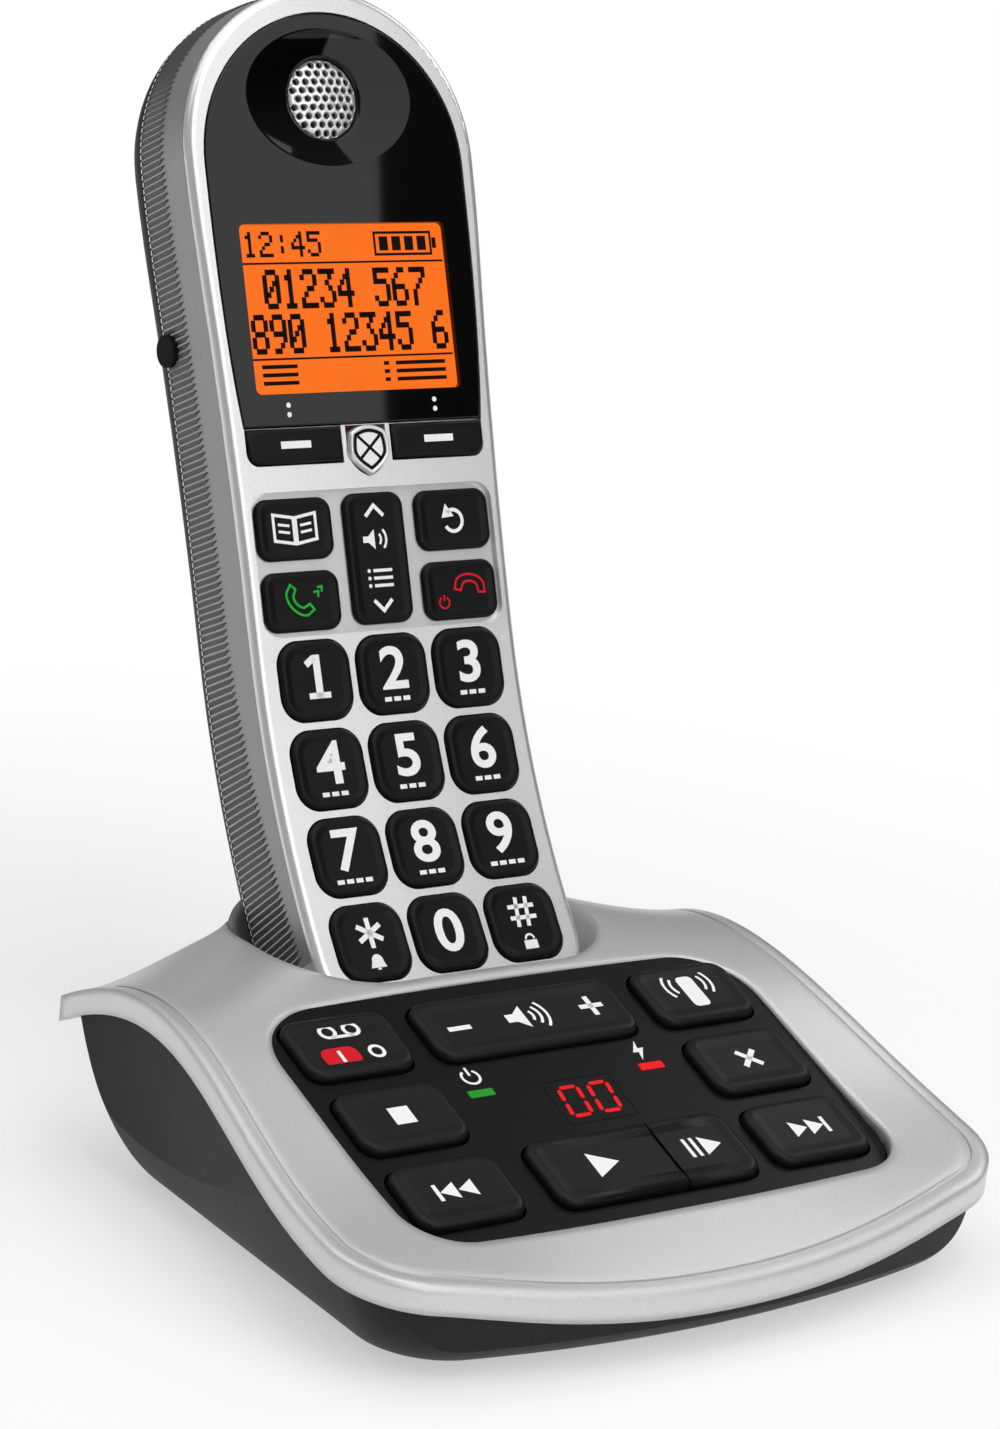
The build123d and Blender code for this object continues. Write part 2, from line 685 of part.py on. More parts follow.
def base_screws():
    head = Pos(0, 0, FOOT_H + SCREW_SUNK - SCREW_HEAD_H) * extrude(
        Circle(SCREW_HEAD_D / 2), SCREW_HEAD_H)
    shank = Pos(0, 0, FOOT_H + SCREW_SUNK) * extrude(Circle(SCREW_D / 2 - 0.05), SCREW_L)
    screw = head + shank
    return Compound([Pos(x, y, 0) * screw for x, y in screw_places()])


def socket_block(x, width, length, grow=0.0, beyond=0.0):
    """A socket's body on the housing's floor, with its face to the rear."""
    low = FOOT_H + HULL_WALL + SEAT_GAP - grow
    block = Pos(0, beyond - length / 2, low + SOCKET_H / 2 + grow) * Box(
        width + 2 * grow, length, SOCKET_H + 2 * grow)
    return Pos(x, SOCKET_REAR_Y, 0) * block


def socket_mouth(x, sketch, depth):
    """A sketch cut into a socket's face."""
    middle = FOOT_H + HULL_WALL + SEAT_GAP + SOCKET_H / 2
    return Pos(x, SOCKET_REAR_Y + 1, middle) * Rot(90, 0, 0) * extrude(sketch, depth + 1)


def power_socket():
    body = socket_block(POWER_X, POWER_BODY_W, POWER_BODY_L)
    return body - socket_mouth(POWER_X, Circle(POWER_BORE_D / 2), POWER_DEPTH)


def line_socket():
    body = socket_block(-LINE_X, LINE_BODY_W, LINE_BODY_L)
    latch = Pos(0, -LINE_H / 2) * Rectangle(LINE_LATCH_W, 2 * LINE_LATCH_H)
    return body - socket_mouth(-LINE_X, Rectangle(LINE_W, LINE_H) + latch, LINE_DEPTH)


def base_speaker():
    floor_z = FOOT_H + HULL_WALL + SEAT_GAP
    rim, magnet = SPEAKER_D / 2, SPEAKER_D / 4
    half = [(0, 0), (rim, 0), (rim, 1.2), (magnet, SPEAKER_H / 2), (magnet, SPEAKER_H), (0, SPEAKER_H)]
    profile = make_face([Polyline(*half, (0, 0))])
    return Pos(*SPEAKER_PLACE, floor_z) * revolve(Rot(90, 0, 0) * profile, Axis.Z)


def base_charging_contacts():
    pad = handset_reach(LEAN + math.degrees(LOWER_L / CURL_R) - LIFT, CONTACT_DEPTH)[1]
    height = pad - CONTACT_GAP - well_floor() + WELL_WALL + 1.0
    blade = Pos(0, 0, -WELL_WALL - 1.0) * extrude(Rectangle(CONTACT_W, CONTACT_L), height)
    blade = chamfer(blade.edges().group_by(Axis.Z)[-1], 0.4)
    return Compound([contact_place(side) * blade for side in (-1, 1)])


# ---------------------------------------------------------------- control panel's pieces
def key_spots():
    """Each panel key: its middle u and v, its width and its height."""
    rows = [BASE_ROW_MID + BASE_ROW, BASE_ROW_MID, BASE_ROW_MID - BASE_ROW]
    size = (BASE_KEY_W, BASE_KEY_H)
    play_w = PLAY_SPLIT - PLAY_LEFT - BASE_KEY_GAP / 2
    slow_w = PLAY_RIGHT - PLAY_SPLIT - BASE_KEY_GAP / 2
    return {
        "answer_key": (-BASE_KEY_X, rows[0], *size),
        "volume_key": (0, rows[0], VOLUME_KEY_W, BASE_KEY_H),
        "find_key": (BASE_KEY_X, rows[0], *size),
        "stop_key": (-BASE_KEY_X, rows[1], *size),
        "delete_key": (BASE_KEY_X, rows[1], *size),
        "skip_back_key": (-BASE_KEY_X, rows[2], *size),
        "play_key": (PLAY_LEFT + play_w / 2, rows[2], play_w, PLAY_H),
        "slow_play_key": (PLAY_RIGHT - slow_w / 2, rows[2], slow_w, PLAY_H),
        "skip_forward_key": (BASE_KEY_X, rows[2], *size),
    }


def control_panel():
    plate = slab(panel_outline(), on_panel(0, 0, -KEY_PROUD), PANEL_T)
    flange = slab(panel_outline(PANEL_FLANGE), on_panel(0, 0, -KEY_PROUD - PANEL_T), PANEL_FLANGE_T)
    reach = mat_top() + MAT_T - SEAT_GAP - panel_depth()
    posts = [
        slab(Rectangle(POST_W, POST_W), on_panel(side * POST_X, v, 0.2 - panel_depth()), 0.2 + reach)
        for side in (-1, 1) for v in (POST_LOW_V, POST_HIGH_V)
    ]
    cuts = []
    for name, (u, v, width, height) in key_spots().items():
        grow = 2 * BASE_KEY_GAP
        if name == "play_key":
            width, u = PLAY_RIGHT - PLAY_LEFT, (PLAY_LEFT + PLAY_RIGHT) / 2
        if name != "slow_play_key":
            cuts.append(slab(RectangleRounded(width + grow, height + grow, BASE_KEY_R), on_panel(u, v, 1), 9))
    cuts.append(slab(Rectangle(DISPLAY_W + 0.2, DISPLAY_H + 0.2), on_panel(DISPLAY_U, DISPLAY_V, 1), 9))
    for side in (-1, 1):
        cuts.append(slab(Rectangle(LED_L + 0.2, LED_H + 0.2), on_panel(side * LED_X, LED_V, 1), 9))
    return (plate + [flange] + posts) - cuts


def base_key(name):
    u, v, width, height = key_spots()[name]
    depth, flange_t = panel_depth() + SEAT_GAP, KEY_FLANGE_T
    if name == "volume_key":
        swing = (width / 2 + KEY_FLANGE) * sin(ROCK)
        depth, flange_t = depth + swing, KEY_FLANGE_T + KEY_TRAVEL - 2 * swing
    cap_outline = key_outline(name, width, height)
    cap = slab(cap_outline, on_panel(u, v), depth + 0.01)
    cap = chamfer(top_edges(cap, PANEL), BASE_KEY_BEVEL)
    grow = KEY_FLANGE
    flange = Rectangle(width + 2 * grow, height + 2 * grow)
    if name in ("play_key", "slow_play_key"):
        inner = 1 if name == "play_key" else -1
        flange = Pos(-inner * grow / 2, 0) * Rectangle(width + grow, height + 2 * grow)
    return cap + slab(flange, on_panel(u, v, -depth), flange_t)


def key_outline(name, width, height):
    """A key's outline: rounded corners, but square ones along the split of the play keys."""
    outline = RectangleRounded(width, height, BASE_KEY_R)
    if name == "play_key":
        outline += Pos(width / 4, 0) * Rectangle(width / 2, height)
    if name == "slow_play_key":
        outline += Pos(-width / 4, 0) * Rectangle(width / 2, height)
    return outline


def top_edges(shape, plane):
    """The edges of the face that lies highest along a plane's normal."""
    axis = Axis(plane.origin, plane.z_dir)
    return shape.faces().sort_by(axis)[-1].edges()


def mat_top():
    return panel_depth() + SEAT_GAP + KEY_FLANGE_T + KEY_TRAVEL + SEAT_GAP


def base_key_mat():
    sheet = RectangleRounded(BOARD_W - 4, BOARD_H - 2, 4)
    sheet -= Pos(DISPLAY_U, DISPLAY_V - BOARD_V) * Rectangle(DISPLAY_W + 0.6, DISPLAY_H + 0.6)
    for side in (-1, 1):
        sheet -= Pos(side * LED_X, LED_V - BOARD_V) * Rectangle(LED_L + 0.6, LED_H + 0.6)
        for v in (POST_LOW_V, POST_HIGH_V):
            sheet -= Pos(side * POST_X, v - BOARD_V) * Rectangle(POST_W + 1.2, POST_W + 1.2)
    return slab(sheet, on_panel(0, BOARD_V, -mat_top()), MAT_T)


def base_circuit_board():
    top = mat_top() + MAT_T
    board = slab(RectangleRounded(BOARD_W, BOARD_H, BOARD_R), on_panel(0, BOARD_V, -top), BOARD_T)
    chips = [(-20, 8, 14, 10), (6, 10, 9, 9), (26, -8, 12, 6), (-28, -12, 8, 6)]
    parts = [
        slab(Rectangle(width, height), on_panel(u, v, -top - BOARD_T + 0.1), 1.6)
        for u, v, width, height in chips
    ]
    return board + parts


def light_pipe(side):
    depth = mat_top() + MAT_T
    return slab(Rectangle(LED_L, LED_H), on_panel(side * LED_X, LED_V, -KEY_PROUD + 0.05), depth - KEY_PROUD)


def message_display():
    depth = mat_top() + MAT_T
    return slab(Rectangle(DISPLAY_W, DISPLAY_H), on_panel(DISPLAY_U, DISPLAY_V, -KEY_PROUD), depth - KEY_PROUD)


# ---------------------------------------------------------------- handset pieces
def lens_outline(inset=0.0):
    """The lens: a dome on sides that draw in towards the soft keys."""
    wide, low = LENS_W - inset, LENS_LOW_W - inset
    floor = LENS_LOW_Z + inset
    right = Spline((low, floor), (wide, LENS_Z), tangents=[(0.12, 1), (0, 1)])
    left = Spline((-wide, LENS_Z), (-low, floor), tangents=[(0, -1), (0.12, -1)])
    return make_face([
        Line((-low, floor), (low, floor)),
        right,
        ThreePointArc((wide, LENS_Z), (0, LENS_Z + wide), (-wide, LENS_Z)),
        left,
    ])


def lens_boss():
    """The part of the lens that stands through the cover."""
    return lens_outline(LENS_LEDGE)


def display_lens():
    lens = front_prism(lens_outline(LENS_GAP), 0, LENS_PLATE)
    lens += front_prism(lens_outline(LENS_LEDGE + LENS_GAP), LENS_PLATE - 0.01, LENS_T)
    window = Pos(0, (LCD_LOW + LCD_HIGH) / 2) * RectangleRounded(LCD_W, LCD_HIGH - LCD_LOW, 1.0)
    bowl = Cone(GRILLE_D / 2 + DISH_SEAT, DISH_H / 2, DISH_DEPTH)
    dish = Pos(0, DISH_DEPTH / 2, DISH_Z) * Rot(90, 0, 0) * scale(bowl, (DISH_W / DISH_H, 1, 1))
    hole = Pos(0, 0, DISH_Z) * Rot(90, 0, 0) * Cylinder(GRILLE_D / 2 + 0.05, 20)
    return lens - [front_prism(window, -5, 10), dish, hole]


def lcd_screen():
    glass = Pos(0, (LCD_LOW + LCD_HIGH) / 2) * RectangleRounded(LCD_W - 0.2, LCD_HIGH - LCD_LOW - 0.2, 0.9)
    back = Pos(0, (LCD_LOW + LCD_HIGH) / 2) * Rectangle(LCD_W + 4, LCD_HIGH - LCD_LOW + 3)
    return front_prism(glass, LCD_DEPTH, LENS_T + SEAT_GAP) + front_prism(
        back, LENS_T + SEAT_GAP - 0.01, LCD_DEPTH + LCD_T)


def earpiece_grille():
    holes = []
    for row in range(-3, 4):
        for column in range(-3, 4):
            x = (column + row / 2) * GRILLE_PITCH
            z = row * GRILLE_PITCH * sin(60)
            if math.hypot(x, z) < GRILLE_D / 2 - GRILLE_HOLE_D:
                holes.append(Pos(x, z) * RegularPolygon(GRILLE_HOLE_D / 2, 6))
    disc = Circle(GRILLE_D / 2) - holes
    return front_prism(Pos(0, DISH_Z) * disc, DISH_DEPTH, DISH_DEPTH + GRILLE_T)


def earpiece_receiver():
    disc = Pos(0, DISH_Z) * Circle(RECEIVER_D / 2)
    return front_prism(disc, LENS_T + SEAT_GAP, LENS_T + SEAT_GAP + RECEIVER_T)


def call_keys():
    """The keys above the digits: middle x, middle along the face, width and height."""
    return {
        "phone_book_key": (-CALL_KEY_X, BOOK_KEY_Z, CALL_KEY_W, BOOK_KEY_H),
        "recall_key": (CALL_KEY_X, BOOK_KEY_Z, CALL_KEY_W, BOOK_KEY_H),
        "talk_key": (-CALL_KEY_X, TALK_KEY_Z, CALL_KEY_W, TALK_KEY_H),
        "end_key": (CALL_KEY_X, TALK_KEY_Z, CALL_KEY_W, TALK_KEY_H),
        "handset_volume_key": (0, ROCKER_Z, ROCKER_W, ROCKER_H),
    }


def digit_keys():
    """The twelve digit keys: middle x and middle along the face."""
    names = ["1", "2", "3", "4", "5", "6", "7", "8", "9", "star", "0", "hash"]
    spots = {}
    for index, name in enumerate(names):
        row, column = divmod(index, 3)
        spots["key_" + name] = ((column - 1) * DIGIT_PITCH_X, DIGIT_TOP_S - row * DIGIT_PITCH_S)
    return spots


def handset_key(x, s, width, height, radius, top, swing=0.0):
    """A key on the face: its cap through the cover, and its flange under the cover's wall."""
    under = SHELL + SEAT_GAP + swing
    rise = (height / 2 + HANDSET_FLANGE) ** 2 / (2 * CURL_R)  # the curled mat's, under the flange's ends
    flange_t = HANDSET_FLANGE_T + HANDSET_TRAVEL - 2 * swing if swing else HANDSET_FLANGE_T - rise
    outline = RectangleRounded(width, height, radius)
    cap = on_face(x, s) * Pos(0, 0, top) * extrude(outline, -(top + under + 0.01))
    flange = Rectangle(width + HANDSET_FLANGE * 2, height + HANDSET_FLANGE * 2)
    return cap + on_face(x, s) * Pos(0, 0, -under) * extrude(flange, -flange_t)


def key_hole(x, s, width, height, radius):
    grow = 2 * HANDSET_KEY_GAP
    hole = RectangleRounded(width + grow, height + grow, radius + HANDSET_KEY_GAP)
    return on_face(x, s) * Pos(0, 0, 3) * extrude(hole, -6)


def soft_key_outline(side, inset=0.0):
    """One soft key: a bar under the lens with a round outer corner, cut away round the shield."""
    outer, inner = LENS_LOW_W - 0.1, SOFT_INNER
    width = outer - inner - 2 * inset
    height = LENS_LOW_Z - SOFT_LOW - 2 * inset
    bar = Pos(side * (inner + outer) / 2, (LENS_LOW_Z + SOFT_LOW) / 2) * Rectangle(width, height)
    corner = bar.vertices().sort_by(Axis.Y)[:2].sort_by(Axis.X)[-1 if side > 0 else 0]
    return fillet(corner, 2.2)


def shield_outline(inset=0.0):
    half = SHIELD_W / 2 - inset
    top, low = SHIELD_HIGH - inset, SHIELD_LOW + inset
    waist = top - (top - low) * 0.5
    return make_face([
        Line((-half, top), (half, top)),
        Line((half, top), (half, waist)),
        ThreePointArc((half, waist), (half * 0.66, low + (waist - low) * 0.35), (0, low)),
        ThreePointArc((0, low), (-half * 0.66, low + (waist - low) * 0.35), (-half, waist)),
        Line((-half, waist), (-half, top)),
    ])


def soft_key(side):
    gap = HANDSET_KEY_GAP
    cap = front_prism(soft_key_outline(side, gap), -SOFT_PROUD, SHELL + SEAT_GAP + 0.01)
    cap = chamfer(cap.faces().sort_by(Axis.Y)[0].edges(), HANDSET_KEY_BEVEL)
    tongue = Pos(side * (SOFT_INNER + LENS_LOW_W) / 2, SOFT_LOW - 0.4) * Rectangle(10, 5)
    return cap + front_prism(tongue, SHELL + SEAT_GAP, SHELL + SEAT_GAP + HANDSET_FLANGE_T)


def block_key():
    cap = front_prism(shield_outline(HANDSET_KEY_GAP), -SHIELD_PROUD, SHELL + SEAT_GAP + 0.01)
    cap = chamfer(cap.faces().sort_by(Axis.Y)[0].edges(), HANDSET_KEY_BEVEL)
    tongue = Pos(0, SHIELD_LOW + 1.0) * Rectangle(6, 5)
    return cap + front_prism(tongue, SHELL + SEAT_GAP, SHELL + SEAT_GAP + HANDSET_FLANGE_T)


def handset_front_cover():
    shell = handset_form(0, FACE_ROUND) & handset_slab(-20, GRIP_FRONT)
    shell += handset_form(GRIP_DEPTH) & handset_slab(GRIP_FRONT, SEAM)
    boss = Circle(HANDSET_BOSS_D / 2) - Circle(HANDSET_SCREW_D / 2 + 0.05)
    bosses = [
        front_prism(Pos(side * HANDSET_SCREW_X, HANDSET_SCREW_Z) * boss, LENS_T + 1, SEAM - SEAT_GAP)
        for side in (-1, 1)
    ]
    shell = shell - handset_hollow() + bosses
    recess = Pos(0, (RECESS_LOW + RECESS_HIGH) / 2) * RectangleRounded(
        RECESS_W, RECESS_HIGH - RECESS_LOW, 3.0)
    cuts = [
        front_prism(lens_outline(), -5, LENS_PLATE + SEAT_GAP),
        front_prism(lens_boss(), -5, 8),
        front_prism(soft_key_outline(-1), -5, 4),
        front_prism(soft_key_outline(1), -5, 4),
        front_prism(shield_outline(), -5, 4),
        front_prism(recess, -5, RECESS_DEPTH),
        bung_place() * Cylinder(BUNG_D / 2 + 0.1, 12),
        on_face(0, MIC_S, 0) * Box(3.0, 0.8, 6),
    ]
    for x, s, width, height in call_keys().values():
        cuts.append(key_hole(x, s, width, height, CALL_KEY_R))
    for x, s in digit_keys().values():
        cuts.append(key_hole(x, s, DIGIT_W, DIGIT_H, DIGIT_R))
    return shell - cuts


def handset_back_cover():
    shell = handset_form() & handset_slab(SEAM, 60)
    shell -= handset_hollow()
    middle = (CELLS_LOW + CELLS_HIGH) / 2
    length = CELLS_HIGH - CELLS_LOW
    width = 2 * (CELL_X + CELL_D / 2 + CELL_GAP)
    tray = Pos(0, middle) * Rectangle(width + 2 * TRAY_WALL, length + 2 * TRAY_WALL)
    bay = Pos(0, middle) * Rectangle(width, length)
    top = HANDSET_T - DOOR_T - SEAT_GAP
    cell_front = HANDSET_T - DOOR_T - CELL_GAP - CELL_D
    shell -= front_prism(door_outline(DOOR_GAP), SEAM, 40)
    shell += [front_prism(tray, cell_front - TRAY_WALL - CELL_GAP, top)]
    ledges = Pos(0, (DOOR_LOW + DOOR_HIGH) / 2) * (
        Rectangle(DOOR_W + 2.4, DOOR_HIGH - DOOR_LOW + 2.4) - Rectangle(DOOR_W - 2.4, DOOR_HIGH - DOOR_LOW - 2.4))
    shell += [front_prism(ledges, top - 1.0, top)]
    bridge = Pos(0, middle) * (Rectangle(DOOR_W - 2, 3) - Rectangle(width, length))
    shell += [front_prism(bridge, top - 1.0, top)]
    columns = [
        front_prism(Pos(side * HANDSET_SCREW_X, HANDSET_SCREW_Z) * Circle(HANDSET_BOSS_D / 2), SEAM, HANDSET_T - SHELL)
        for side in (-1, 1)
    ]
    shell += columns
    cuts = [front_prism(bay, cell_front - CELL_GAP, 40), bung_place() * Cylinder(BUNG_D / 2 + 0.1, 12)]
    for side in (-1, 1):
        spot = Pos(side * HANDSET_SCREW_X, HANDSET_SCREW_Z)
        cuts.append(front_prism(spot * Circle(HANDSET_SCREW_D / 2 + 0.2), 5, 40))
        cuts.append(front_prism(spot * Circle(HANDSET_HEAD_D / 2 + 0.2), HANDSET_SCREW_SEAT, 40))
        pocket = Box(PAD_W + 2 * SEAT_GAP, 2 * (PAD_T + SEAT_GAP), PAD_L + 2 * SEAT_GAP)
        cuts.append(pad_place(side) * pocket)
    for row in range(-2, 3):
        slot = Pos(0, LOUDSPEAKER_Z + row * 3.0) * SlotOverall(14 - 2 * abs(row), 1.2)
        cuts.append(front_prism(slot, 18, 40))
    return shell - cuts


def door_outline(grow=0.0):
    middle = (DOOR_LOW + DOOR_HIGH) / 2
    return Pos(0, middle) * RectangleRounded(DOOR_W + 2 * grow, DOOR_HIGH - DOOR_LOW + 2 * grow, DOOR_R + grow)


def battery_door():
    door = front_prism(door_outline(), HANDSET_T - DOOR_T, HANDSET_T)
    notch = Pos(0, DOOR_HIGH - 5) * SlotOverall(12, 3.2)
    return door - front_prism(notch, HANDSET_T - 0.7, HANDSET_T + 1)


def battery_cells():
    cells = []
    depth = HANDSET_T - DOOR_T - CELL_GAP - CELL_D / 2
    for side in (-1, 1):
        can = Pos(side * CELL_X, depth, CELLS_LOW + CONTACT_ROOM) * extrude(Circle(CELL_D / 2 - 0.1), CELL_L - 0.8)
        tip_z = CELLS_LOW + CONTACT_ROOM + CELL_L - 0.8 if side > 0 else CELLS_LOW + CONTACT_ROOM - 0.8
        can += Pos(side * CELL_X, depth, tip_z - 0.01) * extrude(Circle(1.9), 0.82)
        cells.append(can)
    return Compound(cells)


def battery_contacts():
    depth = HANDSET_T - DOOR_T - CELL_GAP - CELL_D / 2
    plates = []
    for side in (-1, 1):
        for z in (CELLS_LOW + 0.05, CELLS_HIGH - 0.05 - PLATE_T):
            plates.append(Pos(side * CELL_X, depth, z) * extrude(Rectangle(PLATE_W, PLATE_W), PLATE_T))
    return Compound(plates)


def handset_screws():
    screws = []
    for side in (-1, 1):
        spot = Pos(side * HANDSET_SCREW_X, HANDSET_SCREW_Z)
        head = front_prism(spot * Circle(HANDSET_HEAD_D / 2), HANDSET_SCREW_SEAT, HANDSET_SCREW_SEAT + 1.2)
        shank = front_prism(spot * Circle(HANDSET_SCREW_D / 2), 7.0, HANDSET_SCREW_SEAT + 0.01)
        screws.append(head + shank)
    return Compound(screws)


def bung_place():
    return Pos(-neck_width(BUNG_Z), BUNG_DEPTH, BUNG_Z) * Rot(0, 90, 0)


def headset_bung():
    plug = bung_place() * Pos(0, 0, BUNG_L / 2 - BUNG_REACH) * Cylinder(BUNG_D / 2, BUNG_L)
    return plug - front_prism(handset_front_view(SHELL + 1.5), -5, HANDSET_T)


def pad_place(side):
    """Where a charging pad sits in the handset's lower end; Y runs up into the handset."""
    return on_face(side * CONTACT_X, -LOWER_L, CONTACT_DEPTH)


def handset_charge_contacts():
    plate = Pos(0, PAD_T / 2, 0) * Box(PAD_W, PAD_T, PAD_L)
    return Compound([pad_place(side) * plate for side in (-1, 1)])


def handset_key_mat():
    front = SHELL + SEAT_GAP + HANDSET_FLANGE_T + HANDSET_TRAVEL + SEAT_GAP
    sheet = handset_slab(front, front + HANDSET_MAT_T)
    return sheet & Pos(0, 0, (MAT_HIGH + MAT_LOW) / 2) * Box(2 * HANDSET_W - 8, 100, MAT_HIGH - MAT_LOW)


def handset_circuit_board():
    front = SHELL + SEAT_GAP + HANDSET_FLANGE_T + HANDSET_TRAVEL + SEAT_GAP + HANDSET_MAT_T + SEAT_GAP
    upper = Pos(0, (UPPER_BOARD_LOW + UPPER_BOARD_HIGH) / 2) * RectangleRounded(
        2 * UPPER_BOARD_W, UPPER_BOARD_HIGH - UPPER_BOARD_LOW, 1.5)
    board = front_prism(upper, front, front + 1.0)
    lower = on_face(0, LOWER_BOARD_S, front) * extrude(RectangleRounded(40, LOWER_BOARD_L, 1.5), -1.0)
    return Compound([board, lower])


def microphone():
    return on_face(0, MIC_S, SHELL + SEAT_GAP) * extrude(Circle(MIC_D / 2), -2.2)


def loudspeaker():
    disc = Pos(0, LOUDSPEAKER_Z) * Circle(LOUDSPEAKER_D / 2)
    return front_prism(disc, HANDSET_T - SHELL - SEAT_GAP - 4.0, HANDSET_T - SHELL - SEAT_GAP)


# ---------------------------------------------------------------- all pieces
def base_pieces():
    pieces = {
        "base_lower_housing": base_lower_housing(),
        "base_top_cover": base_top_cover(),
        "cradle_well": cradle_well(),
        "control_panel": control_panel(),
        "power_led": light_pipe(-1),
        "charging_led": light_pipe(1),
        "message_display": message_display(),
        "base_key_mat": base_key_mat(),
        "base_circuit_board": base_circuit_board(),
        "base_speaker": base_speaker(),
        "power_socket": power_socket(),
        "line_socket": line_socket(),
        "base_charging_contacts": base_charging_contacts(),
        "base_feet": base_feet(),
        "base_screws": base_screws(),
    }
    for name in key_spots():
        pieces[name] = base_key(name)
    return pieces


def handset_pieces():
    pieces = {
        "handset_front_cover": handset_front_cover(),
        "handset_back_cover": handset_back_cover(),
        "battery_door": battery_door(),
        "battery_cells": battery_cells(),
        "battery_contacts": battery_contacts(),
        "display_lens": display_lens(),
        "lcd_screen": lcd_screen(),
        "earpiece_grille": earpiece_grille(),
        "earpiece_receiver": earpiece_receiver(),
        "left_soft_key": soft_key(-1),
        "right_soft_key": soft_key(1),
        "block_key": block_key(),
        "handset_key_mat": handset_key_mat(),
        "handset_circuit_board": handset_circuit_board(),
        "handset_charge_contacts": handset_charge_contacts(),
        "microphone": microphone(),
        "loudspeaker": loudspeaker(),
        "headset_bung": headset_bung(),
        "handset_screws": handset_screws(),
    }
    call_top = CALL_KEY_PROUD - RECESS_DEPTH
    for name, (x, s, width, height) in call_keys().items():
        swing = (height / 2 + HANDSET_FLANGE) * sin(ROCK) if name == "handset_volume_key" else 0
        pieces[name] = handset_key(x, s, width, height, CALL_KEY_R, call_top, swing)
    for name, (x, s) in digit_keys().items():
        pieces[name] = handset_key(x, s, DIGIT_W, DIGIT_H, DIGIT_R, HANDSET_KEY_PROUD)
    return {name: place_handset(piece) for name, piece in pieces.items()}


def main():
    os.makedirs(PARTS, exist_ok=True)
    pieces = {**base_pieces(), **handset_pieces()}
    boxes = [piece.bounding_box() for piece in pieces.values()]
    middle_y = (min(box.min.Y for box in boxes) + max(box.max.Y for box in boxes)) / 2
    for name, piece in pieces.items():
        export_step(Pos(0, -middle_y, 0) * piece, os.path.join(PARTS, name + ".step"))
    print("frame moved forward by", round(middle_y, 4))


if __name__ == "__main__":
    main()
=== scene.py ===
import json
import math

import bpy
from mathutils import Matrix, Vector


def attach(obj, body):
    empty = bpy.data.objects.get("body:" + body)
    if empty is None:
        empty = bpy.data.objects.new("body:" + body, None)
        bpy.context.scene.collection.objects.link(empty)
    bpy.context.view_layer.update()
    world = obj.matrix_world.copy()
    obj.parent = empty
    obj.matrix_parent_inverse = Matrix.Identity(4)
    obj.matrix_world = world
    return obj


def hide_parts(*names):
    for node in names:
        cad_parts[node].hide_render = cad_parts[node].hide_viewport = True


# The looks of an answering machine with its cordless handset: a silver deck over a black tub,
# a black control panel, and a silver big-button handset with an amber display.
# Pieces are drawn in millimetres in the frame of the panel or of the handset's face.

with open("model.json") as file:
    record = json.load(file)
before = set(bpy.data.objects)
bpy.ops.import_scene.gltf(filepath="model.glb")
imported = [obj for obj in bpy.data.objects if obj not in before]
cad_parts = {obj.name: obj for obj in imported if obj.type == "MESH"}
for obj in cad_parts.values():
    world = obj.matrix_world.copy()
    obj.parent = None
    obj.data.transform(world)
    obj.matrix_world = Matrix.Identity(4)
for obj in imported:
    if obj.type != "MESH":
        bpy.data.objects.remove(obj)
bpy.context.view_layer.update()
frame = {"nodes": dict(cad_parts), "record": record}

MM = 0.001

# ---- driving sizes, in mm
FORWARD = 36.7863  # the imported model's shift towards the front
TILT = 19.4  # slope of the control panel
PANEL_H = 25.5  # height of the panel keys' tops at the panel's middle
KEY_PROUD = 1.45  # panel key tops above the panel
BASE_KEY_R = 3.2
BASE_ROW = 16.4
BASE_ROW_MID = -1.7
BASE_KEY_X = 32.6
BASE_KEY_SIZE = (19.0, 13.0)
VOLUME_KEY_W = 38.0
PLAY_LEFT, PLAY_SPLIT, PLAY_RIGHT = -17.6, 5.4, 19.8
PLAY_H = 14.0
SPLIT_GAP = 0.3
KEY_SKIRT = 3.0  # depth of a panel key's side that is drawn
LED_X, LED_V = 16.0, 1.4
DISPLAY_U, DISPLAY_V = 1.0, -3.4

WHOLE = (-99.0, 99.0)  # the stretch of a key that is all of it
PILL_SIZE, PILL_R = (6.4, 4.0), 1.5
PILL_SHIFT = 2.6  # from the answer key's middle to its pill, left and down
MARK_SHIFT, MARK_RISE = 0.2, 3.6  # from a light to the sign above it
COUNTER_X, COUNTER_LOW = (-4.9, 0.6), -3.1
COUNTER_SIZE = (3.5, 6.2)
COUNTER_THICK, COUNTER_GAP = 0.72, 0.22
COUNTER_LEAN = 8.0  # degrees

LEAN = 21.3  # handset's lean back from upright
TANGENT_Y, TANGENT_Z = 60.8, 77.9
CURL_R = 153.0
HANDSET_W = 25.0
HEAD_W = 27.2
HEAD_Z = 76.5
NECK_Z = 60.0
HANDSET_T = 22.5
BACK_ROUND = 8.0
SCREW_SPOT = (22.9, 60.0)  # a handset screw's place, at either side
COLLAR_REACH = 3.2  # what lies within this of its axis is its collar
BAND_FRONT = 1.5  # front edge of the plain band in front of the ribs
RIB_FRONT = 8.0  # front ends of the ribs on the head and neck
RIB_BACK = 15.1  # their back ends where the curl begins
RIB_FRONT_SLOPE = 0.069  # how the front ends come forward along the curl
RIB_BACK_SLOPE = 0.016  # how the back ends go back towards the foot
RIB_PITCH = 1.08
RIB_RISE = 0.34
RIB_SLANT = 0.08  # how much a rib climbs towards the face, per mm of depth
GRIP_FOOT = -50.0  # lower end of band and ribs
CREST_SHARE = 0.66  # where a rib's crest lies in its pitch
CREST_LEAD, HOLLOW_LAG = 0.8, 0.9  # a crest starts before the ribs' front, a hollow behind it
BAND_LAP = 1.3  # how far the plain band reaches in under the ribs
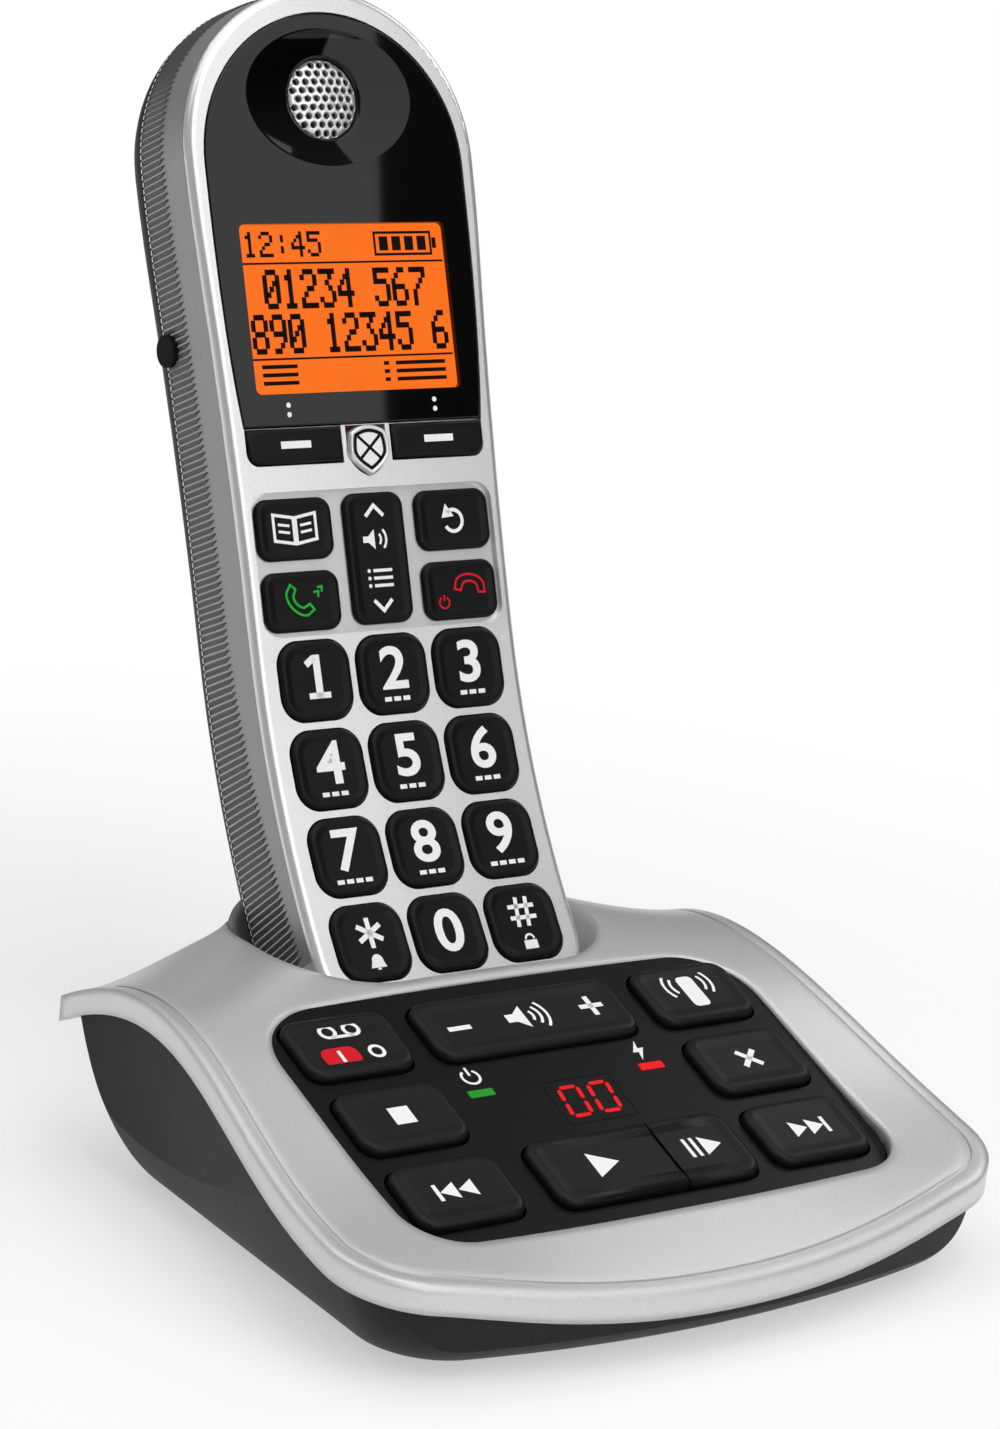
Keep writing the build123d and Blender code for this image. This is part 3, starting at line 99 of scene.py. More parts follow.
RIB_SHARES = (0.05, 0.3, 0.5, 0.7, 0.85, 1.0)  # places along a rib's depth
RIB_TAIL = 0.3  # the ribs' slope down to the shell at their back ends
DASH_ENDS = (-0.12, 0.2)  # the dashed line, from the ribs' back ends
SKIN = 0.03  # grip pieces above the shell under them
LENS_W, LENS_Z = 24.4, 75.2
LENS_LOW_W, LENS_LOW_Z = 22.6, 33.7
LENS_SLANT = 0.12  # how the lens's sides lean outwards at its lower end
LENS_EDGE = 0.35  # width of the lens's rounded edge
LCD_LOW, LCD_HIGH, LCD_W = 38.9, 65.8, 39.0
LCD_DEPTH = 0.8
LCD_R = 1.0
DISH_W, DISH_H = 30.5, 22.0
DISH_Z = 86.0
DISH_DEPTH = 2.0
DISH_HOLE_R = 6.6
DISH_LIP = 1.04  # the lens's hole for the dish, as a share of the dish's rim
DISH_WALL = 0.6  # height of its wall round the grille
GRILLE_R = 6.4
GRILLE_DOME = 1.1
GRILLE_PITCH = 1.58
GRILLE_HOLE_R = 0.56
GRILLE_THICK = 0.7
GRILLE_SINK = 0.1  # its edge under the dish's floor
GRILLE_MARGIN = 0.12  # least metal between a hole and the grille's edge
PIN_SPAN = (-2.0, 3.0)  # ends of the pins that cut the holes
HANDSET_SKIRT = 1.7  # depth of a handset key's side that is drawn
DIGIT_SIZE = (13.1, 12.5)
DIGIT_R = 3.8
DIGIT_PITCH_X, DIGIT_PITCH_S = 14.6, 14.13
DIGIT_TOP_S = -6.4
DIGIT_TOP = 0.6  # digit key tops above the face
DIGIT_BOLD, DIGIT_WIDEN = 0.022, 1.12
CALL_TOP = -0.1  # call key tops, in their recess
CALL_KEY_R = 2.4
RECESS_W, RECESS_LOW, RECESS_HIGH, RECESS_DEPTH = 45.8, 0.6, 23.5, 0.9
RECESS_R = 4.0
RECESS_PLAY = 0.3  # how much smaller the painted shade plate on its floor is
SOFT_LOW, SOFT_HIGH = 27.85, 33.35
SOFT_INNER, SOFT_OUTER = 4.85, 22.35
SOFT_TOP = 0.5
SOFT_R = 2.2
SHIELD_W = 7.5
SHIELD_LOW, SHIELD_HIGH = 25.35, 33.45
SHIELD_TOP = 0.9
SHIELD_DIP = 0.16  # its plate under its rim
SHIELD_PLATE, SHIELD_LINE = 0.70, 0.98  # how far plate and line are drawn in from its outline
SHIELD_CORNER, SHIELD_SHOULDER = 0.88, 0.74  # where its sides end, as shares of its half width and rise
INK = 0.03  # printed legends above the surface under them

# ---- camera and light
CAMERA_PLACE = (-359.91, -486.35, 249.68)
CAMERA_HEADING = -36.950  # turned to the right of +Y
CAMERA_DOWN = 16.336
CAMERA_ROLL = 6.349
CAMERA_LENS = 102.70
SENSOR_H = 36.0
GLEAM_TOP = (10.1, 93.5)  # the lens's reflection ends along the line between these two places
GLEAM_LOW = (7.2, 65.5)
CAMERA_CLIP = (0.02, 30.0)

# Lights, in metres. A soft box has a place, a target, a width, a height and a radiance.
FRONT_BOX_SIZE, FRONT_BOX_RADIANCE = (0.95, 1.5), 1.68
FRONT_BOX_AWAY, FRONT_BOX_LIFT = 0.75, 0.33
TOP_BOX = ((-0.20, 0.16, 1.05), (0, 0, 0.05), 1.25, 1.25, 1.05)
RIGHT_BOX = ((0.68, 0.06, 0.58), (0, -0.06, 0.03), 0.45, 0.34, 1.9)
SKY_TOP = (-0.53, 0.32, 0.79)  # the direction that the world's light is brightest from
SKY_SPAN, SKY_LIGHT = (-0.4, 0.9), (0.03, 0.36)
FLOOR_COLOUR = (0.93, 0.93, 0.93)
FLOOR_REACH = 8.0
FLOOR_FADE = (0.11, 0.29)  # from the middle, where the floor turns to plain white
FLOOR_WHITE = 0.5  # its share of plain white before that


def sin(degrees):
    return math.sin(math.radians(degrees))


def cos(degrees):
    return math.cos(math.radians(degrees))


# ---- frames
def local_frame(origin, right, up, out):
    """A frame for pieces drawn in mm: its origin in mm and its three directions."""
    turn = Matrix((right, up, out)).transposed().to_4x4()
    return Matrix.Translation(Vector(origin) * MM) @ turn @ Matrix.Scale(MM, 4)


def on_panel(u, v, w=0.0):
    """On the control panel: u to the right, v up the slope, w above the key tops."""
    right = Vector((1, 0, 0))
    up = Vector((0, cos(TILT), sin(TILT)))
    out = Vector((0, -sin(TILT), cos(TILT)))
    origin = Vector((0, -FORWARD, PANEL_H)) + u * right + v * up + w * out
    return local_frame(origin, right, up, out)


def on_face(x, s, out=0.0):
    """On the handset's face: x to the right, s along the face from where its curl begins."""
    curl = max(-s, 0.0) / CURL_R
    back = CURL_R * (math.cos(curl) - 1)
    rise = s if s >= 0 else -CURL_R * math.sin(curl)
    lean = LEAN + math.degrees(curl)
    outward = Vector((0, -cos(lean), sin(lean)))
    upward = Vector((0, sin(lean), cos(lean)))
    origin = Vector((
        x,
        TANGENT_Y - FORWARD + back * cos(LEAN) + rise * sin(LEAN),
        TANGENT_Z - back * sin(LEAN) + rise * cos(LEAN),
    ))
    return local_frame(origin + out * outward, Vector((1, 0, 0)), upward, outward)


def face_point(x, s, depth):
    return on_face(x, s) @ Vector((0, 0, -depth))


# ---- materials
NOISE_SPAN = (0.3, 0.7)  # most of a noise texture's values lie in it
BROAD_GRAIN = 45.0  # the scale on which roughness varies, in features per metre
ROUGHNESS_SPREAD = 0.08
BUMP_DEPTH = 0.03 * MM


def greys(dark, light, blue=0.0):
    """Two neutral colours, or two with a little more or less blue."""
    return (dark, dark, dark + blue), (light, light, light + blue)


# Moulded and painted looks: darkest and lightest colour, roughness, grain in features per metre and
# bump strength, and where they aren't plain metallic share, specular level and rounded edges in mm.
GRAINED = {
    "silver_paint": (*greys(0.68, 0.76, 0.01), 0.29, 3200, 0.15, 0.7),
    "deck_silver": (*greys(0.64, 0.72, 0.01), 0.34, 3200, 0.15, 0.6, 0.5, 2.2),
    # painted shade: the handset's silver, darker, for the pocket round the call keys
    "recess_painted_shade": (*greys(0.54, 0.60, 0.01), 0.34, 3200, 0.15, 0.6),
    # painted shade: the handset's silver paint, darker, for the plain band on its sides
    "grip_band_painted_shade": (*greys(0.29, 0.33, 0.01), 0.42, 2400, 0.1, 0.5),
    # the ribs, the same silver: painted shade on their wide faces, then a painted highlight on their
    # narrow ones
    "rib_painted_shade": ((0.068, 0.068, 0.072), (0.09, 0.09, 0.095), 0.45, 2400, 0.1, 0.3),
    "rib_painted_highlight": (*greys(0.50, 0.58, 0.01), 0.45, 2400, 0.1, 0.2),
    "grille_silver": (*greys(0.70, 0.80, 0.01), 0.32, 3000, 0.1, 0.6),
    "black_plastic": (*greys(0.010, 0.015), 0.5, 2200, 0.5, 0.0, 0.25),
    "shell_black": (*greys(0.004, 0.006), 0.5, 2200, 0.5, 0.0, 0.12),
    "rubber_black": (*greys(0.003, 0.006), 0.7, 1800, 0.8, 0.0, 0.12),
    "panel_black": (*greys(0.004, 0.006), 0.30, 2600, 0.1, 0.0, 0.12),
    "display_red": (*greys(0.004, 0.006), 0.30, 2600, 0.1, 0.0, 0.12),
    "key_black": (*greys(0.004, 0.006), 0.34, 2800, 0.1, 0.0, 0.12),
    "base_key_black": (*greys(0.006, 0.008), 0.36, 2600, 0.2, 0.0, 0.16),
    "lens_black": (*greys(0.0008, 0.0012), 0.03, 900, 0.0, 0.0, 0.30),
    "dish_black": (*greys(0.0008, 0.0012), 0.05, 900, 0.0, 0.0, 0.26),
    "key_white": (*greys(0.80, 0.86, -0.01), 0.38, 2600, 0.1),
    "legend_white": (*greys(0.84, 0.90), 0.6, 3000, 0.0, 0.0, 0.2),
    "legend_green": ((0.01, 0.42, 0.03), (0.02, 0.48, 0.04), 0.6, 3000, 0.0, 0.0, 0.1),
    "legend_red": ((0.60, 0.008, 0.018), (0.66, 0.012, 0.022), 0.6, 3000, 0.0, 0.0, 0.1),
    "legend_black": (*greys(0.003, 0.005), 0.6, 3000, 0.0, 0.0, 0.1),
    "lcd_ink": ((0.006, 0.003, 0.002), (0.009, 0.004, 0.003), 0.6, 3000, 0.0, 0.0, 0.05),
    "rubber_grey": (*greys(0.20, 0.26, 0.01), 0.72, 1800, 0.6),
    "circuit_board": ((0.010, 0.10, 0.035), (0.018, 0.15, 0.05), 0.45, 700, 0.4),
    "speaker_black": (*greys(0.012, 0.024), 0.65, 900, 0.8),
    "socket_black": (*greys(0.012, 0.02, 0.001), 0.4, 2000, 0.4),
    "contact_metal": ((0.62, 0.55, 0.38), (0.75, 0.68, 0.48), 0.25, 1600, 0.3, 1.0),
    "screw_steel": (*greys(0.42, 0.56, 0.01), 0.32, 1400, 0.4, 1.0),
    "battery_cell": ((0.05, 0.16, 0.28), (0.07, 0.20, 0.34), 0.35, 1200, 0.2),
}

# Lit looks: the glow's colour and strength, the colour and roughness under it, and how much the
# glow varies, in features per metre and as a share of it.
GLOWING = {
    "amber_display": ((1.0, 0.170, 0.010), 0.98, (0.02, 0.004, 0.0), 0.35, 300, 0.05),
    "led_green": ((0.015, 0.30, 0.020), 0.9, (0.01, 0.06, 0.01), 0.25, 900, 0.12),
    "led_red": ((0.85, 0.004, 0.006), 1.0, (0.10, 0.004, 0.004), 0.25, 900, 0.12),
    "digit_red": ((0.85, 0.004, 0.008), 1.0, (0.10, 0.004, 0.004), 0.3, 1500, 0.1),
}


def set_sockets(tree, node, values):
    """Sets a node's inputs to numbers and colours, and links those that are given a socket."""
    for name, value in values.items():
        if isinstance(value, bpy.types.NodeSocket):
            tree.links.new(value, node.inputs[name])
        else:
            node.inputs[name].default_value = value


def add_node(tree, kind, values=None, **settings):
    """A new node with its settings and inputs."""
    node = tree.nodes.new("ShaderNode" + kind)
    for name, value in settings.items():
        setattr(node, name, value)
    set_sockets(tree, node, values or {})
    return node


def noise(tree, scale, detail=3.0):
    """A noise texture fixed to the object, its scale in features per metre."""
    place = add_node(tree, "TexCoord").outputs["Object"]
    return add_node(tree, "TexNoise", {"Vector": place, "Scale": scale, "Detail": detail}).outputs["Fac"]


def spread(tree, source, low, high, span=NOISE_SPAN, **settings):
    """A value that comes in a span, spread between two numbers."""
    values = {"Value": source, "From Min": span[0], "From Max": span[1], "To Min": low, "To Max": high}
    return add_node(tree, "MapRange", values, **settings).outputs["Result"]


def tinted(tree, factor, dark, light):
    """A colour between two, by a factor."""
    colours = {0: factor, 6: (*dark, 1), 7: (*light, 1)}
    return add_node(tree, "Mix", colours, data_type="RGBA").outputs[2]


def new_material(name):
    material = bpy.data.materials.new(name)
    material.use_nodes = True
    return material, material.node_tree


def grained(name, dark, light, roughness, grain, relief, metallic=0.0, specular=0.5, edge=0.0):
    """Moulded plastic or paint: a slight grain in colour, roughness and relief, and rounded edges."""
    material, tree = new_material(name)
    fine = noise(tree, grain)
    broad = noise(tree, BROAD_GRAIN, 2.0)
    bump = {"Strength": relief, "Distance": BUMP_DEPTH, "Height": fine}
    if edge:
        bump["Normal"] = add_node(tree, "Bevel", {"Radius": edge * MM}, samples=6).outputs["Normal"]
    least, most = 1 - ROUGHNESS_SPREAD, 1 + ROUGHNESS_SPREAD
    set_sockets(tree, tree.nodes["Principled BSDF"], {
        "Base Color": tinted(tree, spread(tree, fine, 0.0, 1.0), dark, light),
        "Roughness": spread(tree, broad, roughness * least, roughness * most),
        "Metallic": metallic,
        "Specular IOR Level": specular,
        "Normal": add_node(tree, "Bump", bump).outputs["Normal"],
    })
    return material


def glowing(name, colour, strength, body, roughness, scale, depth):
    """A lit surface: its glow varies slightly over it, as a diffuser's does."""
    material, tree = new_material(name)
    uneven = spread(tree, noise(tree, scale, 1.0), 0.0, 1.0)
    set_sockets(tree, tree.nodes["Principled BSDF"], {
        "Base Color": (*body, 1),
        "Roughness": roughness,
        "Specular IOR Level": 0.1,
        "Emission Color": tinted(tree, uneven, [channel * (1 - depth) for channel in colour], colour),
        "Emission Strength": strength,
    })
    return material


def make_materials():
    """Every material, by its name."""
    materials = {name: grained(name, *look) for name, look in GRAINED.items()}
    materials.update({name: glowing(name, *look) for name, look in GLOWING.items()})
    return materials


MATERIALS = make_materials()


def dress_nodes():
    """Gives every carried-over CAD node the material of its slot."""
    for part in frame["record"]["subparts"]:
        node = frame["nodes"][part["node"]]
        node.data.materials.clear()
        looks = "deck_silver" if part["node"] == "base_top_cover" else part["material_slot"]
        node.data.materials.append(MATERIALS[looks])


# ---- meshes
def placed(name, data):
    """A new object, linked into the scene."""
    thing = bpy.data.objects.new(name, data)
    bpy.context.scene.collection.objects.link(thing)
    return thing


def worked_out(thing):
    """The mesh that an object's curve or modifiers come to."""
    bpy.context.view_layer.update()
    return bpy.data.meshes.new_from_object(thing.evaluated_get(bpy.context.evaluated_depsgraph_get()))


def add_piece(name, points, faces, material, body, smooth=True, replaces=None):
    """A mesh piece from points in metres, riding on a body."""
    mesh = bpy.data.meshes.new(name)
    mesh.from_pydata([tuple(p) for p in points], [], faces)
    mesh.validate()
    mesh.polygons.foreach_set("use_smooth", [smooth] * len(mesh.polygons))
    mesh.materials.append(MATERIALS[material])
    piece = placed(name, mesh)
    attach(piece, body)
    if replaces:
        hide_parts(replaces)
    return piece


def circle(radius, steps, x=0.0, y=0.0):
    """Points round a circle, counter-clockwise from its right."""
    angles = [360 * step / steps for step in range(steps)]
    return [Vector((x + radius * cos(angle), y + radius * sin(angle))) for angle in angles]


def mirrored(points):
    """Flat points on the other side of the middle, in the opposite order."""
    return [Vector((-p.x, p.y)) for p in reversed(points)]


def lifted(points, height):
    """Flat points at a height."""
    return [Vector((p[0], p[1], height)) for p in points]


def rounded(width, height, radii, steps=10):
    """A rectangle's outline with its own corner radii: right top, left top, left low, right low."""
    corners = [(1, 1, 0), (-1, 1, 90), (-1, -1, 180), (1, -1, 270)]
    outline = []
    for (side, level, start), radius in zip(corners, radii):
        centre = Vector((side * (width / 2 - radius), level * (height / 2 - radius)))
        if not radius:
            outline.append(centre)
            continue
        for step in range(steps + 1):
            angle = start + 90 * step / steps
            outline.append(centre + radius * Vector((cos(angle), sin(angle))))
    return outline


def inset(outline, distance):
    """A closed outline, counter-clockwise, drawn in by a distance."""
    count = len(outline)
    drawn = []
    for index, point in enumerate(outline):
        before = (point - outline[index - 1]).normalized()
        after = (outline[(index + 1) % count] - point).normalized()
        first, second = Vector((-before.y, before.x)), Vector((-after.y, after.x))
        drawn.append(point + distance * (first + second) / max(1 + first.dot(second), 0.3))
    return drawn


def band(low, high, count, flipped=False):
    """Faces between two rings of points, turned over when flipped."""
    faces = []
    for index in range(count):
        after = (index + 1) % count
        corners = [low + after, high + after, high + index]
        faces.append([low + index, *(corners[::-1] if flipped else corners)])
    return faces


def add_rings(points, faces, rings):
    """Adds rings of points, joined one to the next."""
    count, start = len(rings[0]), len(points)
    for ring in rings:
        points.extend(ring)
    for index in range(len(rings) - 1):
        faces.extend(band(start + index * count, start + (index + 1) * count, count))


def cap(node, outline, profile, place, material="key_black", keep=WHOLE):
    """A key's cap in its node's place: the outline lifted ring by ring, and cut off outside keep."""
    count = len(outline)
    points, faces = [], [list(range(count))[::-1]]
    rings = [lifted(inset(outline, distance), height) for distance, height in profile]
    for ring in rings:
        for point in ring:
            point.x = min(max(point.x, keep[0]), keep[1])
    add_rings(points, faces, rings)
    faces.append([len(points) + index for index in range(count)])
    points += rings[-1]
    add_piece(node + "_cap", [place @ p for p in points], faces, material, node, replaces=node)


def flat_mesh(curve):
    """A filled flat curve's points and faces."""
    thing = placed("flat", curve)
    mesh = worked_out(thing)
    points = [vertex.co.copy() for vertex in mesh.vertices]
    faces = [list(face.vertices) for face in mesh.polygons]
    bpy.data.objects.remove(thing)
    bpy.data.meshes.remove(mesh)
    return points, faces


def sheet(outlines):
    """A flat sheet from closed outlines: those inside the first are holes in it."""
    curve = bpy.data.curves.new("sheet", "CURVE")
    curve.dimensions, curve.fill_mode = "2D", "BOTH"
    for outline in outlines:
        spline = curve.splines.new("POLY")
        spline.points.add(len(outline) - 1)
        for spot, point in zip(spline.points, outline):
            spot.co = (point[0], point[1], 0, 1)
        spline.use_cyclic_u = True
    return flat_mesh(curve)


# ---- printed legends
def turned(points, degrees, x, y, size=1.0):
    """Points turned, scaled and moved."""
    c, s = cos(degrees), sin(degrees)
    return [Vector((size * (px * c - py * s) + x, size * (px * s + py * c) + y)) for px, py in points]


class Ink:
    """Flat printed shapes, drawn in mm, which become one mesh."""

    def __init__(self):
        self.points = []
        self.faces = []

    def fill(self, outline):
        start = len(self.points)
        self.points += [Vector((p[0], p[1])) for p in outline]
        self.faces.append(list(range(start, len(self.points))))

    def disc(self, x, y, radius, steps):
        self.fill(circle(radius, steps, x, y))

    def bar(self, x, y, width, height, degrees=0.0):
        right, up = width / 2, height / 2
        self.fill(turned([(-right, -up), (right, -up), (right, up), (-right, up)], degrees, x, y))

    def line(self, points, width, closed=False):
        points = [Vector((p[0], p[1])) for p in points]
        count = len(points)
        sides = []
        for index, point in enumerate(points):
            before = point - points[index - 1] if closed or index else None
            after = points[(index + 1) % count] - point if closed or index < count - 1 else None
            first = (before or after).normalized()
            second = (after or before).normalized()
            first, second = Vector((-first.y, first.x)), Vector((-second.y, second.x))
            miter = (first + second) / max(1 + first.dot(second), 0.35)
            sides.append((point + miter * width / 2, point - miter * width / 2))
        for index in range(count if closed else count - 1):
            (left, right), (far_left, far_right) = sides[index], sides[(index + 1) % count]
            self.fill([left, right, far_right, far_left])

    def arc(self, x, y, radius, start, end, width, steps=20):
        angles = [start + (end - start) * i / steps for i in range(steps + 1)]
        self.line([(x + radius * cos(a), y + radius * sin(a)) for a in angles], width)

    def text(self, words, x, y, height, bold, squeeze):
        """Plain digits or signs, by their middle and height."""
        curve = bpy.data.curves.new("glyph", "FONT")
        curve.body, curve.offset = words, bold
        curve.fill_mode, curve.resolution_u = "FRONT", 5
        spots, faces = flat_mesh(curve)
        low = Vector((min(p.x for p in spots), min(p.y for p in spots)))
        high = Vector((max(p.x for p in spots), max(p.y for p in spots)))
        size = height / (high.y - low.y)
        middle = (low + high) / 2
        start = len(self.points)
        for spot in spots:
            across, up = spot.x - middle.x, spot.y - middle.y
            self.points.append(Vector((x + across * size * squeeze, y + up * size)))
        self.faces += [[start + index for index in face] for face in faces]

    def print_on(self, name, place, body, material="legend_white", slot="key_white"):
        points = [place @ p for p in lifted(self.points, 0)]
        add_piece(name, points, self.faces, material, body, smooth=False)


def print_sign(node, place, draw, *looks):
    """A key's sign, on the key's own body."""
    ink = Ink()
    draw(ink)
    ink.print_on(node + "_legend", place, node, *looks)


def receiver(size, degrees, x, y):
    """The outline of a telephone receiver, its handle uppermost before it is turned."""
    outer = [(2.9 * cos(a), -0.5 + 1.9 * sin(a)) for a in range(24, 157, 12)]
    inner = [(1.55 * cos(a), -0.65 + 0.95 * sin(a)) for a in range(150, 29, -15)]
    right, left = [(2.95, -1.25), (1.75, -1.35)], [(-1.75, -1.35), (-2.95, -1.25)]
    outline = outer + left[::-1] + inner + right[::-1]
    return turned(outline, degrees, x, y, size)


# ---- control panel
PANEL_PROFILE = [
    (0.0, -KEY_SKIRT), (0.0, -1.05), (0.10, -0.62), (0.34, -0.28), (0.75, -0.07),
    (1.25, 0.0), (1.7, -0.03), (2.4, -0.12), (3.0, -0.16),
]
PANEL_KEY_TOP = PANEL_PROFILE[-1][1]


def answer_legend(ink):
    for side in (-1, 1):
        ink.arc(side * 2.1, 2.9, 1.25, 0, 360, 0.62)
    ink.line([(-2.1, 1.65), (2.1, 1.65)], 0.62)
    ink.text("O", 3.7, -2.5, 2.9, 0.03, 0.95)


def volume_legend(ink):
    ink.bar(-12.6, -0.4, 4.2, 0.95)
    ink.bar(12.6, 0.2, 4.4, 0.95)
    ink.bar(12.6, 0.2, 0.95, 4.4)
    ink.fill([(-3.6, -0.9), (-2.0, -0.9), (-0.1, -2.5), (-0.1, 2.5), (-2.0, 0.9), (-3.6, 0.9)])
    for radius in (1.5, 2.8, 4.1):
        ink.arc(-0.1, 0, radius, -42, 42, 0.5)


def find_legend(ink):
    ink.fill(rounded(3.2, 7.0, [0.9] * 4, 4))
    for radius in (2.6, 3.9):
        ink.arc(0.6, 1.6, radius, -38, 38, 0.5)
        ink.arc(-0.6, 1.6, radius, 142, 218, 0.5)


def skip_legend(ink, way):
    for shift in (-2.3, 0.9):
        back, tip = way * (shift - 0.7), way * (shift + 2.2)
        ink.fill([(back, -1.7), (tip, 0), (back, 1.7)][::way])
    ink.bar(way * 3.5, 0, 0.7, 3.4)


def slow_play_legend(ink):
    ink.fill([(-0.6, -2.0), (3.0, 0), (-0.6, 2.0)])
    for x in (-3.2, -1.8):
        ink.bar(x, 0, 0.65, 4.0)


def delete_legend(ink):
    for degrees in (45, -45):
        ink.bar(0, 0, 4.8, 0.96, degrees)


PLAY_U, PLAY_SIZE = (PLAY_LEFT + PLAY_RIGHT) / 2, (PLAY_RIGHT - PLAY_LEFT, PLAY_H)
PLAY_CUT = PLAY_SPLIT - PLAY_U

# Each panel key: its middle u, row, size and sign, and the stretch of u it keeps if not all.
PANEL_KEYS = {
    "answer_key": (-BASE_KEY_X, 1, BASE_KEY_SIZE, answer_legend),
    "volume_key": (0.0, 1, (VOLUME_KEY_W, BASE_KEY_SIZE[1]), volume_legend),
    "find_key": (BASE_KEY_X, 1, BASE_KEY_SIZE, find_legend),
    "stop_key": (-BASE_KEY_X, 0, BASE_KEY_SIZE, lambda ink: ink.bar(0, 0, 3.6, 3.6)),
    "delete_key": (BASE_KEY_X, 0, BASE_KEY_SIZE, delete_legend),
    "skip_back_key": (-BASE_KEY_X, -1, BASE_KEY_SIZE, lambda ink: skip_legend(ink, -1)),
    "play_key": (PLAY_U, -1, PLAY_SIZE, lambda ink: ink.fill([(-2.2, -2.6), (2.6, 0), (-2.2, 2.6)]),
                 (WHOLE[0], PLAY_CUT - SPLIT_GAP / 2)),
    "slow_play_key": (PLAY_U, -1, PLAY_SIZE, slow_play_legend, (PLAY_CUT + SPLIT_GAP / 2, WHOLE[1])),
    "skip_forward_key": (BASE_KEY_X, -1, BASE_KEY_SIZE, lambda ink: skip_legend(ink, 1)),
}


def make_panel_keys():
    """The panel keys, each sign in the middle of what its key keeps, and the pill on the answer key."""
    for node, (u, row, (width, height), draw, *kept) in PANEL_KEYS.items():
        v = BASE_ROW_MID + row * BASE_ROW
        start, end = kept[0] if kept else WHOLE
        outline = rounded(width, height, [BASE_KEY_R] * 4)
        cap(node, outline, PANEL_PROFILE, on_panel(u, v), "base_key_black", keep=(start, end))
        shift = (max(start, -width / 2) + min(end, width / 2)) / 2
        print_sign(node, on_panel(u + shift, v, PANEL_KEY_TOP + INK), draw)
    spot = -BASE_KEY_X - PILL_SHIFT, BASE_ROW_MID + BASE_ROW - PILL_SHIFT
    pill = Ink()
    pill.fill(rounded(*PILL_SIZE, [PILL_R] * 4, 6))
    place = on_panel(*spot, PANEL_KEY_TOP + INK)
    pill.print_on("answer_key_pill", place, "answer_key", "legend_red", "led_red")
    sign = Ink()
    sign.bar(0, 0, 0.6, 2.5)
    sign.print_on("answer_key_sign", on_panel(*spot, PANEL_KEY_TOP + 2 * INK), "answer_key")


def lit_zero(ink, x, y):
    """A seven-segment 0, its segments slim bars with cut ends."""
    width, height = COUNTER_SIZE
    half = height / 2
    segments = [
        ((0, height), (width, height)), ((width, half), (width, height)), ((width, 0), (width, half)),
        ((0, 0), (width, 0)), ((0, 0), (0, half)), ((0, half), (0, height)),
    ]
    slant = sin(COUNTER_LEAN)
    for start, end in segments:
        start, end = Vector(start), Vector(end)
        along = (end - start).normalized()
        across = Vector((-along.y, along.x)) * COUNTER_THICK / 2
        start, end = start + along * COUNTER_GAP, end - along * COUNTER_GAP
        tip = along * COUNTER_THICK / 2
        right = [start, start + tip - across, end - tip - across, end]
        left = [end - tip + across, start + tip + across]
        ink.fill([(x + p.x + slant * p.y, y + p.y) for p in right + left])


def make_panel_marks():
    """Signs at the two lights, and the message counter's lit digits."""
    rise = LED_V + MARK_RISE
    height = -KEY_PROUD + INK
    power = Ink()
    power.arc(0, 0, 1.5, 125, 415, 0.45)
    power.line([(0, 0.3), (0, 2.1)], 0.45)
    power.print_on("power_mark", on_panel(-LED_X + MARK_SHIFT, rise, height), "base")
    charge = Ink()
    charge.fill([(0.5, 2.2), (-1.2, -0.35), (-0.15, -0.35), (-0.5, -2.2), (1.2, 0.45), (0.15, 0.45)])
    charge.print_on("charging_mark", on_panel(LED_X - MARK_SHIFT, rise, height), "base")
    digits = Ink()
    for x in COUNTER_X:
        lit_zero(digits, x, COUNTER_LOW)
    place = on_panel(DISPLAY_U, DISPLAY_V, height)
    digits.print_on("message_digits", place, "base", "digit_red", "display_red")


# ---- handset keys
def key_profile(top):
    """A satin key: a soft roll round its edge, a raised rim, and a flat middle."""
    return [
        (0.0, -HANDSET_SKIRT), (0.0, top - 0.45), (0.08, top - 0.16), (0.30, top + 0.07),
        (0.70, top + 0.18), (1.05, top + 0.15), (1.45, top + 0.03), (1.95, top - 0.03),
    ]


def digit_legend(ink, name):
    """The key's digit, big and bold, with a row of small marks under it."""
    if name == "1":
        ink.bar(0.25, 0.6, 1.3, 6.9)
        ink.line([(-1.75, 2.55), (-0.2, 3.6)], 1.1)
        ink.bar(0.25, -2.4, 4.0, 0.95)
    elif name == "0":
        ink.text(name, 0, 0.3, 7.2, DIGIT_BOLD, DIGIT_WIDEN)
    elif name == "star":
        for degrees in (90, 30, 150):
            ink.bar(0, 1.5, 5.0, 0.84, degrees)
        bell(ink, 0, -3.4)
    elif name == "hash":
        for shift in (-0.95, 0.95):
            ink.bar(0, 1.7 + shift, 5.0, 0.7)
            ink.bar(shift, 1.7, 5.0, 0.72, 82)
        padlock(ink, 0, -3.4)
    else:
        ink.text(name, 0, 1.0, 6.9, DIGIT_BOLD, DIGIT_WIDEN)
        count = 4 if name in "79" else 3
        for index in range(count):
            ink.bar((index - (count - 1) / 2) * 1.75, -4.0, 1.3, 0.7)


def bell(ink, x, y):
    dome = [(1.05 * cos(a), 0.25 + 1.15 * sin(a)) for a in range(0, 181, 20)]
    ink.fill([(x + px, y + py) for px, py in dome + [(-1.45, -0.8), (1.45, -0.8)]])
    ink.disc(x, y - 1.15, 0.36, 12)


def padlock(ink, x, y):
    ink.bar(x, y - 0.55, 2.5, 1.7)
    ink.arc(x, y + 0.45, 0.8, 0, 180, 0.36, 12)


def book_legend(ink):
    for side in (-1, 1):
        page = [(0.22 * side, -2.3), (3.9 * side, -1.7), (3.9 * side, 2.4), (0.22 * side, 1.8)]
        ink.line(page, 0.5, closed=True)
        for level in (-0.55, 0.55):
            ink.line([(1.0 * side, level), (3.1 * side, level + 0.3)], 0.42)


def recall_legend(ink):
    ink.arc(0, -0.2, 1.75, -150, 130, 0.6)
    ink.fill([(-2.2, 0.3), (0.2, 0.5), (-1.3, 2.6)])


